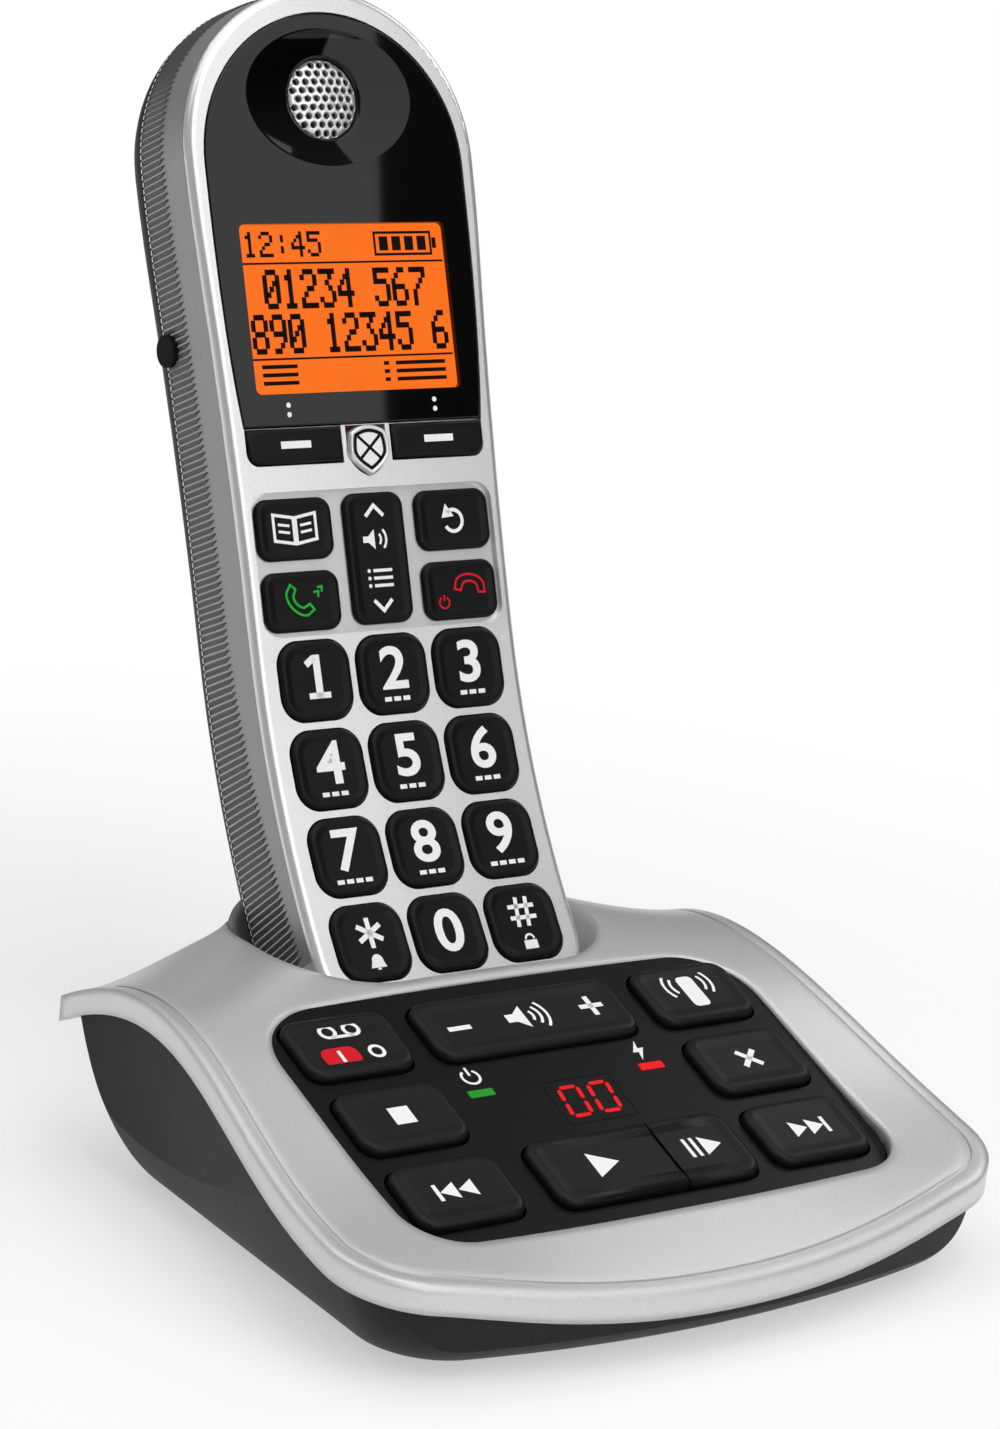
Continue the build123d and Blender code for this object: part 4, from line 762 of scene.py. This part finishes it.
def volume_rocker_legend(ink):
    for way in (-1, 1):
        ink.line([(-1.7, way * 6.7), (0, way * 8.4), (1.7, way * 6.7)], 0.62)
    ink.fill([(-2.6, 2.5), (-1.6, 2.5), (-0.4, 1.4), (-0.4, 4.6), (-1.6, 3.5), (-2.6, 3.5)])
    for radius in (1.2, 2.2):
        ink.arc(-0.4, 3.0, radius, -42, 42, 0.42)
    for level in (-2.0, -3.2, -4.4):
        ink.disc(-2.1, level, 0.32, 10)
        ink.bar(0.5, level, 3.6, 0.5)


def talk_legend(ink):
    ink.line(receiver(0.98, 135, -0.9, -0.2), 0.36, closed=True)
    for shift in (0.0, 0.72):
        wave = turned([(-0.55, -0.5), (0.0, 0.2), (0.55, -0.5)], -45, 2.9 + shift, 1.3 + shift)
        ink.line(wave, 0.34)


def end_legend(ink):
    ink.line(receiver(1.0, -8, 1.9, 1.0), 0.36, closed=True)
    ink.arc(-3.4, -1.9, 0.95, 125, 415, 0.3)
    ink.line([(-3.4, -1.7), (-3.4, -0.7)], 0.3)


# Each call key: its middle x and s, size and sign, and the sign's looks where it isn't white.
CALL_KEYS = {
    "phone_book_key": (-15.1, 17.6, 14.2, 9.8, book_legend),
    "recall_key": (15.1, 17.6, 14.2, 9.8, recall_legend),
    "talk_key": (-15.1, 6.2, 14.2, 9.5, talk_legend, "legend_green", "led_green"),
    "end_key": (15.1, 6.2, 14.2, 9.5, end_legend, "legend_red", "led_red"),
    "handset_volume_key": (0.0, 12.2, 11.4, 21.0, volume_rocker_legend),
}


def make_digit_keys():
    outline = rounded(*DIGIT_SIZE, [DIGIT_R] * 4)
    profile = key_profile(DIGIT_TOP)
    for index, name in enumerate([*"123456789", "star", "0", "hash"]):
        row, column = divmod(index, 3)
        x, s = (column - 1) * DIGIT_PITCH_X, DIGIT_TOP_S - row * DIGIT_PITCH_S
        node = "key_" + name
        cap(node, outline, profile, on_face(x, s))
        place = on_face(x, s, profile[-1][1] + INK)
        print_sign(node, place, lambda ink: digit_legend(ink, name))


def make_call_keys():
    profile = key_profile(CALL_TOP)
    for node, (x, s, width, height, *sign) in CALL_KEYS.items():
        cap(node, rounded(width, height, [CALL_KEY_R] * 4), profile, on_face(x, s))
        print_sign(node, on_face(x, s, profile[-1][1] + INK), *sign)


def make_recess_shade():
    """Painted shade in the pocket round the call keys: a plate of darker silver on its floor."""
    width, height = RECESS_W - RECESS_PLAY, RECESS_HIGH - RECESS_LOW - RECESS_PLAY
    floor = Ink()
    floor.fill(rounded(width, height, [RECESS_R] * 4))
    place = on_face(0, (RECESS_LOW + RECESS_HIGH) / 2, -RECESS_DEPTH + INK)
    floor.print_on("recess_shade_plate", place, "handset", "recess_painted_shade", "silver_paint")


def make_soft_keys():
    width, height = SOFT_OUTER - SOFT_INNER, SOFT_HIGH - SOFT_LOW
    middle, top = (SOFT_LOW + SOFT_HIGH) / 2, SOFT_TOP
    profile = [(0.0, -HANDSET_SKIRT), (0.0, top - 0.4), (0.12, top - 0.12), (0.4, top), (0.8, top)]
    keys = {"left_soft_key": (-1, [0, 0, SOFT_R, 0]), "right_soft_key": (1, [0, 0, 0, SOFT_R])}
    for node, (side, radii) in keys.items():
        x = side * (SOFT_INNER + SOFT_OUTER) / 2
        cap(node, rounded(width, height, radii), profile, on_face(x, middle))
        print_sign(node, on_face(x, middle, top + INK), lambda ink: ink.bar(0, 0.2, 5.6, 1.15))


def shield_outline():
    """A shield: an arched top, sides that widen, and a pointed foot."""
    half, rise = SHIELD_W / 2, (SHIELD_HIGH - SHIELD_LOW) / 2
    up = []
    for step in range(11, -1, -1):
        up.append(Vector((half * (1 - (step / 12) ** 2), -rise * step / 12)))
    for step in range(1, 6):
        x = half * (1 - (1 - SHIELD_CORNER) * (step / 5) ** 2)
        up.append(Vector((x, rise * SHIELD_SHOULDER * step / 5)))
    for share in (0.8, 0.6, 0.4, 0.2):
        y = rise * (1 - (1 - SHIELD_SHOULDER) * share**2)
        up.append(Vector((half * SHIELD_CORNER * share, y)))
    return [*up, Vector((0, rise)), *mirrored(up), Vector((0, -rise))]


def make_shield_key():
    middle = (SHIELD_LOW + SHIELD_HIGH) / 2
    outline = shield_outline()
    top, plate_top = SHIELD_TOP, SHIELD_TOP - SHIELD_DIP
    profile = [
        (0.0, -HANDSET_SKIRT), (0.0, top - 0.4), (0.14, top - 0.05), (0.36, top + 0.08),
        (0.62, top - 0.05), (0.72, plate_top),
    ]
    cap("block_key", outline, profile, on_face(0, middle), "silver_paint")
    plate = Ink()
    plate.fill(inset(outline, SHIELD_PLATE))
    place = on_face(0, middle, plate_top + INK)
    plate.print_on("block_key_plate", place, "block_key", "key_white", "key_white")
    sign = Ink()
    sign.line(inset(outline, SHIELD_LINE), 0.55, closed=True)
    for way in (-1, 1):
        sign.line([(-2.1, way * 1.9 + 0.35), (2.1, -way * 1.9 + 0.35)], 0.5)
    place = on_face(0, middle, plate_top + 2 * INK)
    sign.print_on("block_key_sign", place, "block_key", "legend_black", "key_black")


# ---- lens
def lens_outline():
    """The lens: its lower edge, sides that lean outwards, and a dome."""
    chord = math.hypot(LENS_W - LENS_LOW_W, LENS_Z - LENS_LOW_Z)
    lean_x, lean_z = Vector((LENS_SLANT, 1)).normalized() * chord
    right = []
    for step in range(13):
        t = step / 12
        start, leave = 2 * t**3 - 3 * t**2 + 1, t**3 - 2 * t**2 + t
        end, reach = 3 * t**2 - 2 * t**3, t**3 - t**2
        x = start * LENS_LOW_W + leave * lean_x + end * LENS_W
        z = start * LENS_LOW_Z + leave * lean_z + end * LENS_Z + reach * chord
        right.append(Vector((x, z)))
    dome = [Vector((LENS_W * cos(a), LENS_Z + LENS_W * sin(a))) for a in range(3, 178, 3)]
    return right + dome + mirrored(right)


def bowl_ring(share):
    """A ring of the dish: share is 1 at its rim and 0 where it meets the grille's hole."""
    wide, high, steps = DISH_W / 2, DISH_H / 2, 96
    ring = []
    for step in range(steps):
        angle = 360 * step / steps
        inner = DISH_HOLE_R / math.hypot(wide * cos(angle), high * sin(angle))
        reach = inner + (1 - inner) * share
        depth = DISH_DEPTH * (1 - min(reach, 1) ** 2)
        ring.append(Vector((wide * reach * cos(angle), DISH_Z + high * reach * sin(angle), -depth)))
    return ring


def make_lens():
    """The black lens: a polished flat with a rounded edge, the display's window and a dished ear."""
    place = on_face(0, 0)
    outline = lens_outline()
    middle = Vector((0, (LCD_LOW + LCD_HIGH) / 2))
    window = [middle + p for p in rounded(LCD_W, LCD_HIGH - LCD_LOW, [LCD_R] * 4, 5)]
    lip = [p.xy for p in bowl_ring(DISH_LIP)]
    points, faces = sheet([inset(outline, LENS_EDGE), window, lip])
    edge = ((0.0, -1.1), (0.0, -0.32), (0.1, -0.1), (LENS_EDGE, 0.0))
    add_rings(points, faces, [lifted(inset(outline, distance), height) for distance, height in edge])
    add_rings(points, faces, [lifted(window, height) for height in (0.0, -1.0)])
    add_piece("lens_window", [place @ p for p in points], faces, "lens_black", "handset",
              replaces="display_lens")
    shares = (DISH_LIP, 1.0, 0.97, 0.9, 0.8, 0.7, 0.6, 0.5, 0.4, 0.3, 0.2, 0.1, 0.0)
    bowl = [bowl_ring(share) for share in shares]
    bowl.append(lifted(bowl[-1], -DISH_DEPTH - DISH_WALL))
    points, faces = [], []
    add_rings(points, faces, bowl)
    add_piece("ear_dish", [place @ p for p in points], faces, "dish_black", "handset")


# ---- display
DOTS = {
    "0": "01110 10001 10011 10101 11001 10001 01110",
    "1": "00100 01100 00100 00100 00100 00100 01110",
    "2": "01110 10001 00001 00110 01000 10000 11111",
    "3": "11111 00010 00100 00010 00001 10001 01110",
    "4": "00010 00110 01010 10010 11111 00010 00010",
    "5": "11111 10000 11110 00001 00001 10001 01110",
    "6": "00110 01000 10000 11110 10001 10001 01110",
    "7": "11111 00001 00010 00100 01000 01000 01000",
    "8": "01110 10001 10001 01110 10001 10001 01110",
    "9": "01110 10001 10001 01111 00001 00010 01100",
    ":": "00000 00100 00100 00000 00100 00100 00000",
    " ": "00000 00000 00000 00000 00000 00000 00000",
}


def dot_text(ink, words, left, top, dot_w, dot_h, weight):
    """Plain digits of a dot-matrix display, each dot a small block, wider where weight is over 1."""
    for place, letter in enumerate(words):
        for row, dots in enumerate(DOTS[letter].split()):
            for column, dot in enumerate(dots):
                if dot == "1":
                    x = left + (place * 6 + column + 0.5) * dot_w
                    ink.bar(x, top - (row + 0.5) * dot_h, dot_w * weight, dot_h)


# Each line of the display: its words, left end, distance under the window's top, dot size and weight.
LCD_LINES = (
    ("12:45", -LCD_W / 2 + 0.9, 1.1, 0.50, 0.58, 1.15),
    ("01234 567", -15.6, 7.1, 0.58, 0.90, 1.45),
    ("890 12345 6", -18.6, 14.2, 0.57, 0.90, 1.45),
)


def make_display():
    """The display's digits, rules, battery and list signs, and four marks on the lens under it."""
    ink = Ink()
    top = (LCD_HIGH - LCD_LOW) / 2
    for words, left, drop, dot_w, dot_h, weight in LCD_LINES:
        dot_text(ink, words, left, top - drop, dot_w, dot_h, weight)
    for drop in (6.15, 21.3):
        ink.bar(0, top - drop, LCD_W - 0.9, 0.32)
    battery = [(6.2, top - 1.5), (17.0, top - 1.5), (17.0, top - 5.0), (6.2, top - 5.0)]
    ink.line(battery, 0.42, closed=True)
    ink.bar(17.7, top - 3.25, 0.8, 1.7)
    for index in range(4):
        ink.bar(7.9 + index * 2.45, top - 3.25, 1.7, 2.3)
    for drop in (22.5, 23.8, 25.1):
        for x, width in ((-14.2, 6.6), (6.0, 1.0), (12.6, 9.6)):
            ink.bar(x, top - drop, width, 0.62)
    place = on_face(0, (LCD_LOW + LCD_HIGH) / 2, -LCD_DEPTH + INK)
    ink.print_on("display_text", place, "handset", "lcd_ink", "key_black")
    marks = Ink()
    for x in (-13.9, 13.9):
        for s in (35.6, 37.1):
            marks.disc(x, s, 0.42, 16)
    marks.print_on("lens_marks", on_face(0, 0, INK), "handset")


# ---- earpiece
def grille_plate():
    """The grille before its holes: a domed disc with front, back and edge."""
    rings, steps = 8, 64
    points = []
    for depth in (0.0, GRILLE_THICK):
        points.append(Vector((0, 0, GRILLE_DOME - depth)))
        for ring in range(1, rings + 1):
            radius = GRILLE_R * ring / rings
            height = GRILLE_DOME * (1 - (radius / GRILLE_R) ** 2)
            points += lifted(circle(radius, steps), height - depth)
    size = len(points) // 2
    edge = size - steps
    front = [[0, 1 + step, 1 + (step + 1) % steps] for step in range(steps)]
    for start in range(1, edge, steps):
        front += band(start, start + steps, steps, flipped=True)
    back = [[size + corner for corner in reversed(face)] for face in front]
    return points, front + back + band(edge, size + edge, steps, flipped=True)


def hole_pins(place):
    """Round pins in a hexagonal pattern, which cut the grille's holes."""
    points, faces, sides = [], [], 16
    for row in range(-4, 5):
        for column in range(-5, 6):
            x = (column + (row % 2) / 2) * GRILLE_PITCH
            y = row * GRILLE_PITCH * sin(60)
            if math.hypot(x, y) > GRILLE_R - GRILLE_HOLE_R - GRILLE_MARGIN:
                continue
            low = len(points)
            high = low + sides
            for level in PIN_SPAN:
                points += lifted(circle(GRILLE_HOLE_R, sides, x, y), level)
            faces += [list(range(low, high))[::-1], list(range(high, high + sides))]
            faces += band(low, high, sides)
    mesh = bpy.data.meshes.new("pins")
    mesh.from_pydata([tuple(place @ p) for p in points], [], faces)
    return placed("pins", mesh)


def make_grille():
    """A domed grille with a hexagon of round holes, cut through it."""
    place = on_face(0, DISH_Z, -DISH_DEPTH - GRILLE_SINK)
    points, faces = grille_plate()
    grille = add_piece("grille_dome", [place @ p for p in points], faces, "grille_silver",
                       "handset", replaces="earpiece_grille")
    pins = hole_pins(place)
    cut = grille.modifiers.new("holes", "BOOLEAN")
    cut.operation, cut.object, cut.solver = "DIFFERENCE", pins, "EXACT"
    holed = worked_out(grille)
    grille.modifiers.clear()
    grille.data = holed
    bpy.data.objects.remove(pins)


# ---- grip
def neck_width(s):
    """Half the handset's width: straight, then a hollow neck, then the head's swell."""
    turn_x = HANDSET_W + (HEAD_W - HANDSET_W) * NECK_Z / HEAD_Z
    low_rise, high_rise = turn_x - HANDSET_W, HEAD_W - turn_x
    low_radius = (low_rise**2 + NECK_Z**2) / (2 * low_rise)
    high_radius = (high_rise**2 + (HEAD_Z - NECK_Z) ** 2) / (2 * high_rise)
    if s <= 0:
        return HANDSET_W
    if s <= NECK_Z:
        return HANDSET_W + low_radius - math.sqrt(low_radius**2 - s**2)
    return HEAD_W - high_radius + math.sqrt(high_radius**2 - (HEAD_Z - s) ** 2)


def side_station(length):
    """A place on the handset's outline, by its length from the left foot: x, s and outward direction."""
    side, dome = HEAD_Z - GRIP_FOOT, math.pi * HEAD_W
    if length <= side:
        return -neck_width(GRIP_FOOT + length), GRIP_FOOT + length, -1.0, 0.0
    if length <= side + dome:
        angle = 180 - 180 * (length - side) / dome
        return HEAD_W * cos(angle), HEAD_Z + HEAD_W * sin(angle), cos(angle), sin(angle)
    s = HEAD_Z - (length - side - dome)
    return neck_width(s), s, 1.0, 0.0


def back_inset(depth):
    """How far the shell has drawn in at a depth, where its back is rounded."""
    into = max(depth - (HANDSET_T - BACK_ROUND), 0.0)
    return BACK_ROUND - math.sqrt(BACK_ROUND**2 - into**2)


def make_back_shell():
    """The back shell again, its screw collars trimmed to follow the shell's rounded back."""
    mesh = frame["nodes"]["handset_back_cover"].data.copy()
    face = on_face(0, 0)
    to_face = face.inverted()
    for vertex in mesh.vertices:
        spot = to_face @ vertex.co
        if math.hypot(abs(spot.x) - SCREW_SPOT[0], spot.y - SCREW_SPOT[1]) > COLLAR_REACH:
            continue
        edge = max(neck_width(spot.y) - abs(spot.x), 0.0)
        into = math.sqrt(BACK_ROUND**2 - max(BACK_ROUND - edge, 0.0) ** 2)
        spot.z = max(spot.z, -(HANDSET_T - BACK_ROUND + into))
        vertex.co = face @ spot
    mesh.materials.clear()
    mesh.materials.append(MATERIALS["shell_black"])
    piece = placed("back_shell", mesh)
    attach(piece, "handset")
    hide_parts("handset_back_cover")


def on_shell(station, depth, rise):
    """A point over the handset's outline at a depth, by its rise above the shell."""
    x, s, out_x, out_s = station
    out = rise - back_inset(depth)
    return face_point(x + out_x * out, s + out_s * out, depth)


def strip(name, rows, material, smooth, start=0, step=1):
    """A piece from rows of (station, depth, rise), each joined to the next, or with step 2 in pairs."""
    points = [on_shell(*spot) for row in rows for spot in row]
    width = len(rows[0])
    faces = []
    for index in range(start, len(rows) - 1, step):
        for column in range(width - 1):
            a = index * width + column
            faces.append([a, a + width, a + width + 1, a + 1])
    add_piece(name, points, faces, material, "handset", smooth=smooth)


def make_grip():
    """The grip: a plain band behind the face in painted shade, then fine ribs with painted shade on
    their wide faces and a painted highlight on their narrow ones, and a bright dashed line behind them.
    """
    half = HEAD_Z - GRIP_FOOT + math.pi * HEAD_W / 2
    count = int(2 * half / RIB_PITCH)
    plain, ribs = [], []
    for index in range(count * 2):
        crest = index % 2 == 1
        length = (index // 2 + (CREST_SHARE if crest else 0.0)) * RIB_PITCH
        station = side_station(length)
        lean = RIB_SLANT * max(-1.0, min(1.0, (half - length) / (half - HEAD_Z + GRIP_FOOT)))
        front = RIB_FRONT + min(station[1], 0) * RIB_FRONT_SLOPE
        back = RIB_BACK - min(station[1], HEAD_Z) * RIB_BACK_SLOPE
        plain.append([(station, BAND_FRONT, SKIN), (station, front + BAND_LAP, SKIN)])
        tip = front - CREST_LEAD if crest else front + HOLLOW_LAG
        rise = RIB_RISE if crest else SKIN * 2
        spots = [(tip, SKIN), *[(tip + (back - tip) * share, rise) for share in RIB_SHARES]]
        row = [(side_station(length + lean * (back - depth)), depth, up) for depth, up in spots]
        ribs.append([*row, (station, back + RIB_TAIL, 0.0)])
    # the band and the ribs' wide faces in painted shade, the ribs' narrow faces in a painted highlight
    strip("grip_band", plain, "grip_band_painted_shade", True)
    strip("grip_rib_painted_shade", ribs, "rib_painted_shade", False, 0, 2)
    strip("grip_rib_painted_highlights", ribs, "rib_painted_highlight", False, 1, 2)
    points, faces = [], []
    for hollow, crest in zip(ribs[0::2], ribs[1::2]):
        start = len(points)
        for row in (hollow, crest):
            station, back, _ = row[-2]
            points += [on_shell(station, back + shift, RIB_RISE + SKIN) for shift in DASH_ENDS]
        faces.append([start, start + 1, start + 3, start + 2])
    add_piece("grip_line", points, faces, "key_white", "handset", smooth=False)


# ---- stage
def area_light(name, place, target, width, height, radiance):
    """A soft box of a given radiance, with its face to the target."""
    lamp = bpy.data.lights.new(name, "AREA")
    lamp.shape, lamp.size, lamp.size_y = "RECTANGLE", width, height
    lamp.energy = radiance * math.pi * width * height
    thing = placed(name, lamp)
    thing.location = place
    thing.rotation_euler = (Vector(target) - Vector(place)).to_track_quat("-Z", "Y").to_euler()
    thing.visible_camera = False
    return thing


def make_camera():
    data = bpy.data.cameras.new("camera")
    data.sensor_fit, data.sensor_height, data.lens = "VERTICAL", SENSOR_H, CAMERA_LENS
    data.clip_start, data.clip_end = CAMERA_CLIP
    camera = placed("camera", data)
    turn = (Matrix.Rotation(math.radians(CAMERA_HEADING), 4, "Z")
            @ Matrix.Rotation(math.radians(90 - CAMERA_DOWN), 4, "X")
            @ Matrix.Rotation(math.radians(CAMERA_ROLL), 4, "Z"))
    camera.matrix_world = Matrix.Translation(Vector(CAMERA_PLACE) * MM) @ turn
    bpy.context.scene.camera = camera
    return camera


def make_lights(camera):
    """A tall soft box whose edge shows in the lens, a broad one above and a small one at the right."""
    top, low = on_face(*GLEAM_TOP).translation, on_face(*GLEAM_LOW).translation
    middle = (top + low) / 2
    out = on_face(0, 0).to_3x3() @ Vector((0, 0, 1))
    out.normalize()
    eye = camera.location - 2 * (camera.location - middle).dot(out) * out
    ray = (middle - eye).normalized()
    upward = ((top - low) - (top - low).dot(ray) * ray).normalized()
    right = ray.cross(upward)
    width, height = FRONT_BOX_SIZE
    place = middle + ray * FRONT_BOX_AWAY + right * width / 2 + upward * FRONT_BOX_LIFT
    box = area_light("front_box", place, middle, width, height, FRONT_BOX_RADIANCE)
    box.rotation_euler = Matrix((-right, upward, ray)).transposed().to_euler()
    area_light("top_box", *TOP_BOX)
    area_light("right_box", *RIGHT_BOX)


def blend(tree, kind, shaded, white, factor):
    """A shader that gives way to a white one by a factor, as the output of a material or the world."""
    shaders = {0: factor, 1: shaded.outputs[0], 2: white.outputs[0]}
    mix = add_node(tree, "MixShader", shaders)
    add_node(tree, kind, {"Surface": mix.outputs[0]})


def make_world():
    """White to the camera; as light, brighter from the upper left and dim from the lower right."""
    world = bpy.data.worlds.new("studio")
    world.use_nodes = True
    tree = world.node_tree
    tree.nodes.clear()
    place = add_node(tree, "TexCoord").outputs["Generated"]
    along = add_node(tree, "VectorMath", {0: place, 1: SKY_TOP}, operation="DOT_PRODUCT")
    strength = spread(tree, along.outputs["Value"], *SKY_LIGHT, SKY_SPAN)
    studio = add_node(tree, "Background", {"Color": (1, 1, 1, 1), "Strength": strength})
    white = add_node(tree, "Background", {"Color": (1, 1, 1, 1)})
    seen = add_node(tree, "LightPath").outputs["Is Camera Ray"]
    blend(tree, "OutputWorld", studio, white, seen)
    bpy.context.scene.world = world


def make_floor():
    """A pale floor that keeps the object's shadow, and turns to plain white away from it."""
    material, tree = new_material("floor_white")
    tree.nodes.clear()
    lit = add_node(tree, "BsdfDiffuse", {"Color": (*FLOOR_COLOUR, 1)})
    white = add_node(tree, "Emission")
    place = add_node(tree, "NewGeometry").outputs["Position"]
    length = add_node(tree, "VectorMath", {0: place}, operation="LENGTH").outputs["Value"]
    far = spread(tree, length, FLOOR_WHITE, 1.0, FLOOR_FADE, interpolation_type="SMOOTHSTEP")
    path = add_node(tree, "LightPath").outputs
    seen = path["Is Camera Ray"]
    for ray in ("Is Glossy Ray", "Is Transmission Ray"):
        values = {0: seen, 1: path[ray]}
        seen = add_node(tree, "Math", values, operation="MAXIMUM", use_clamp=True).outputs[0]
    factor = add_node(tree, "Math", {0: far, 1: seen}, operation="MULTIPLY").outputs[0]
    blend(tree, "OutputMaterial", lit, white, factor)
    mesh = bpy.data.meshes.new("floor")
    corners = [(x * FLOOR_REACH, y * FLOOR_REACH, 0) for x, y in ((-1, -1), (1, -1), (1, 1), (-1, 1))]
    mesh.from_pydata(corners, [], [[0, 1, 2, 3]])
    mesh.materials.append(material)
    placed("floor", mesh)


def main():
    bpy.context.scene.view_settings.view_transform = "Standard"
    dress_nodes()
    make_panel_keys()
    make_panel_marks()
    make_digit_keys()
    make_call_keys()
    make_recess_shade()
    make_soft_keys()
    make_shield_key()
    make_lens()
    make_display()
    make_grille()
    make_back_shell()
    make_grip()
    camera = make_camera()
    make_lights(camera)
    make_world()
    make_floor()


main()
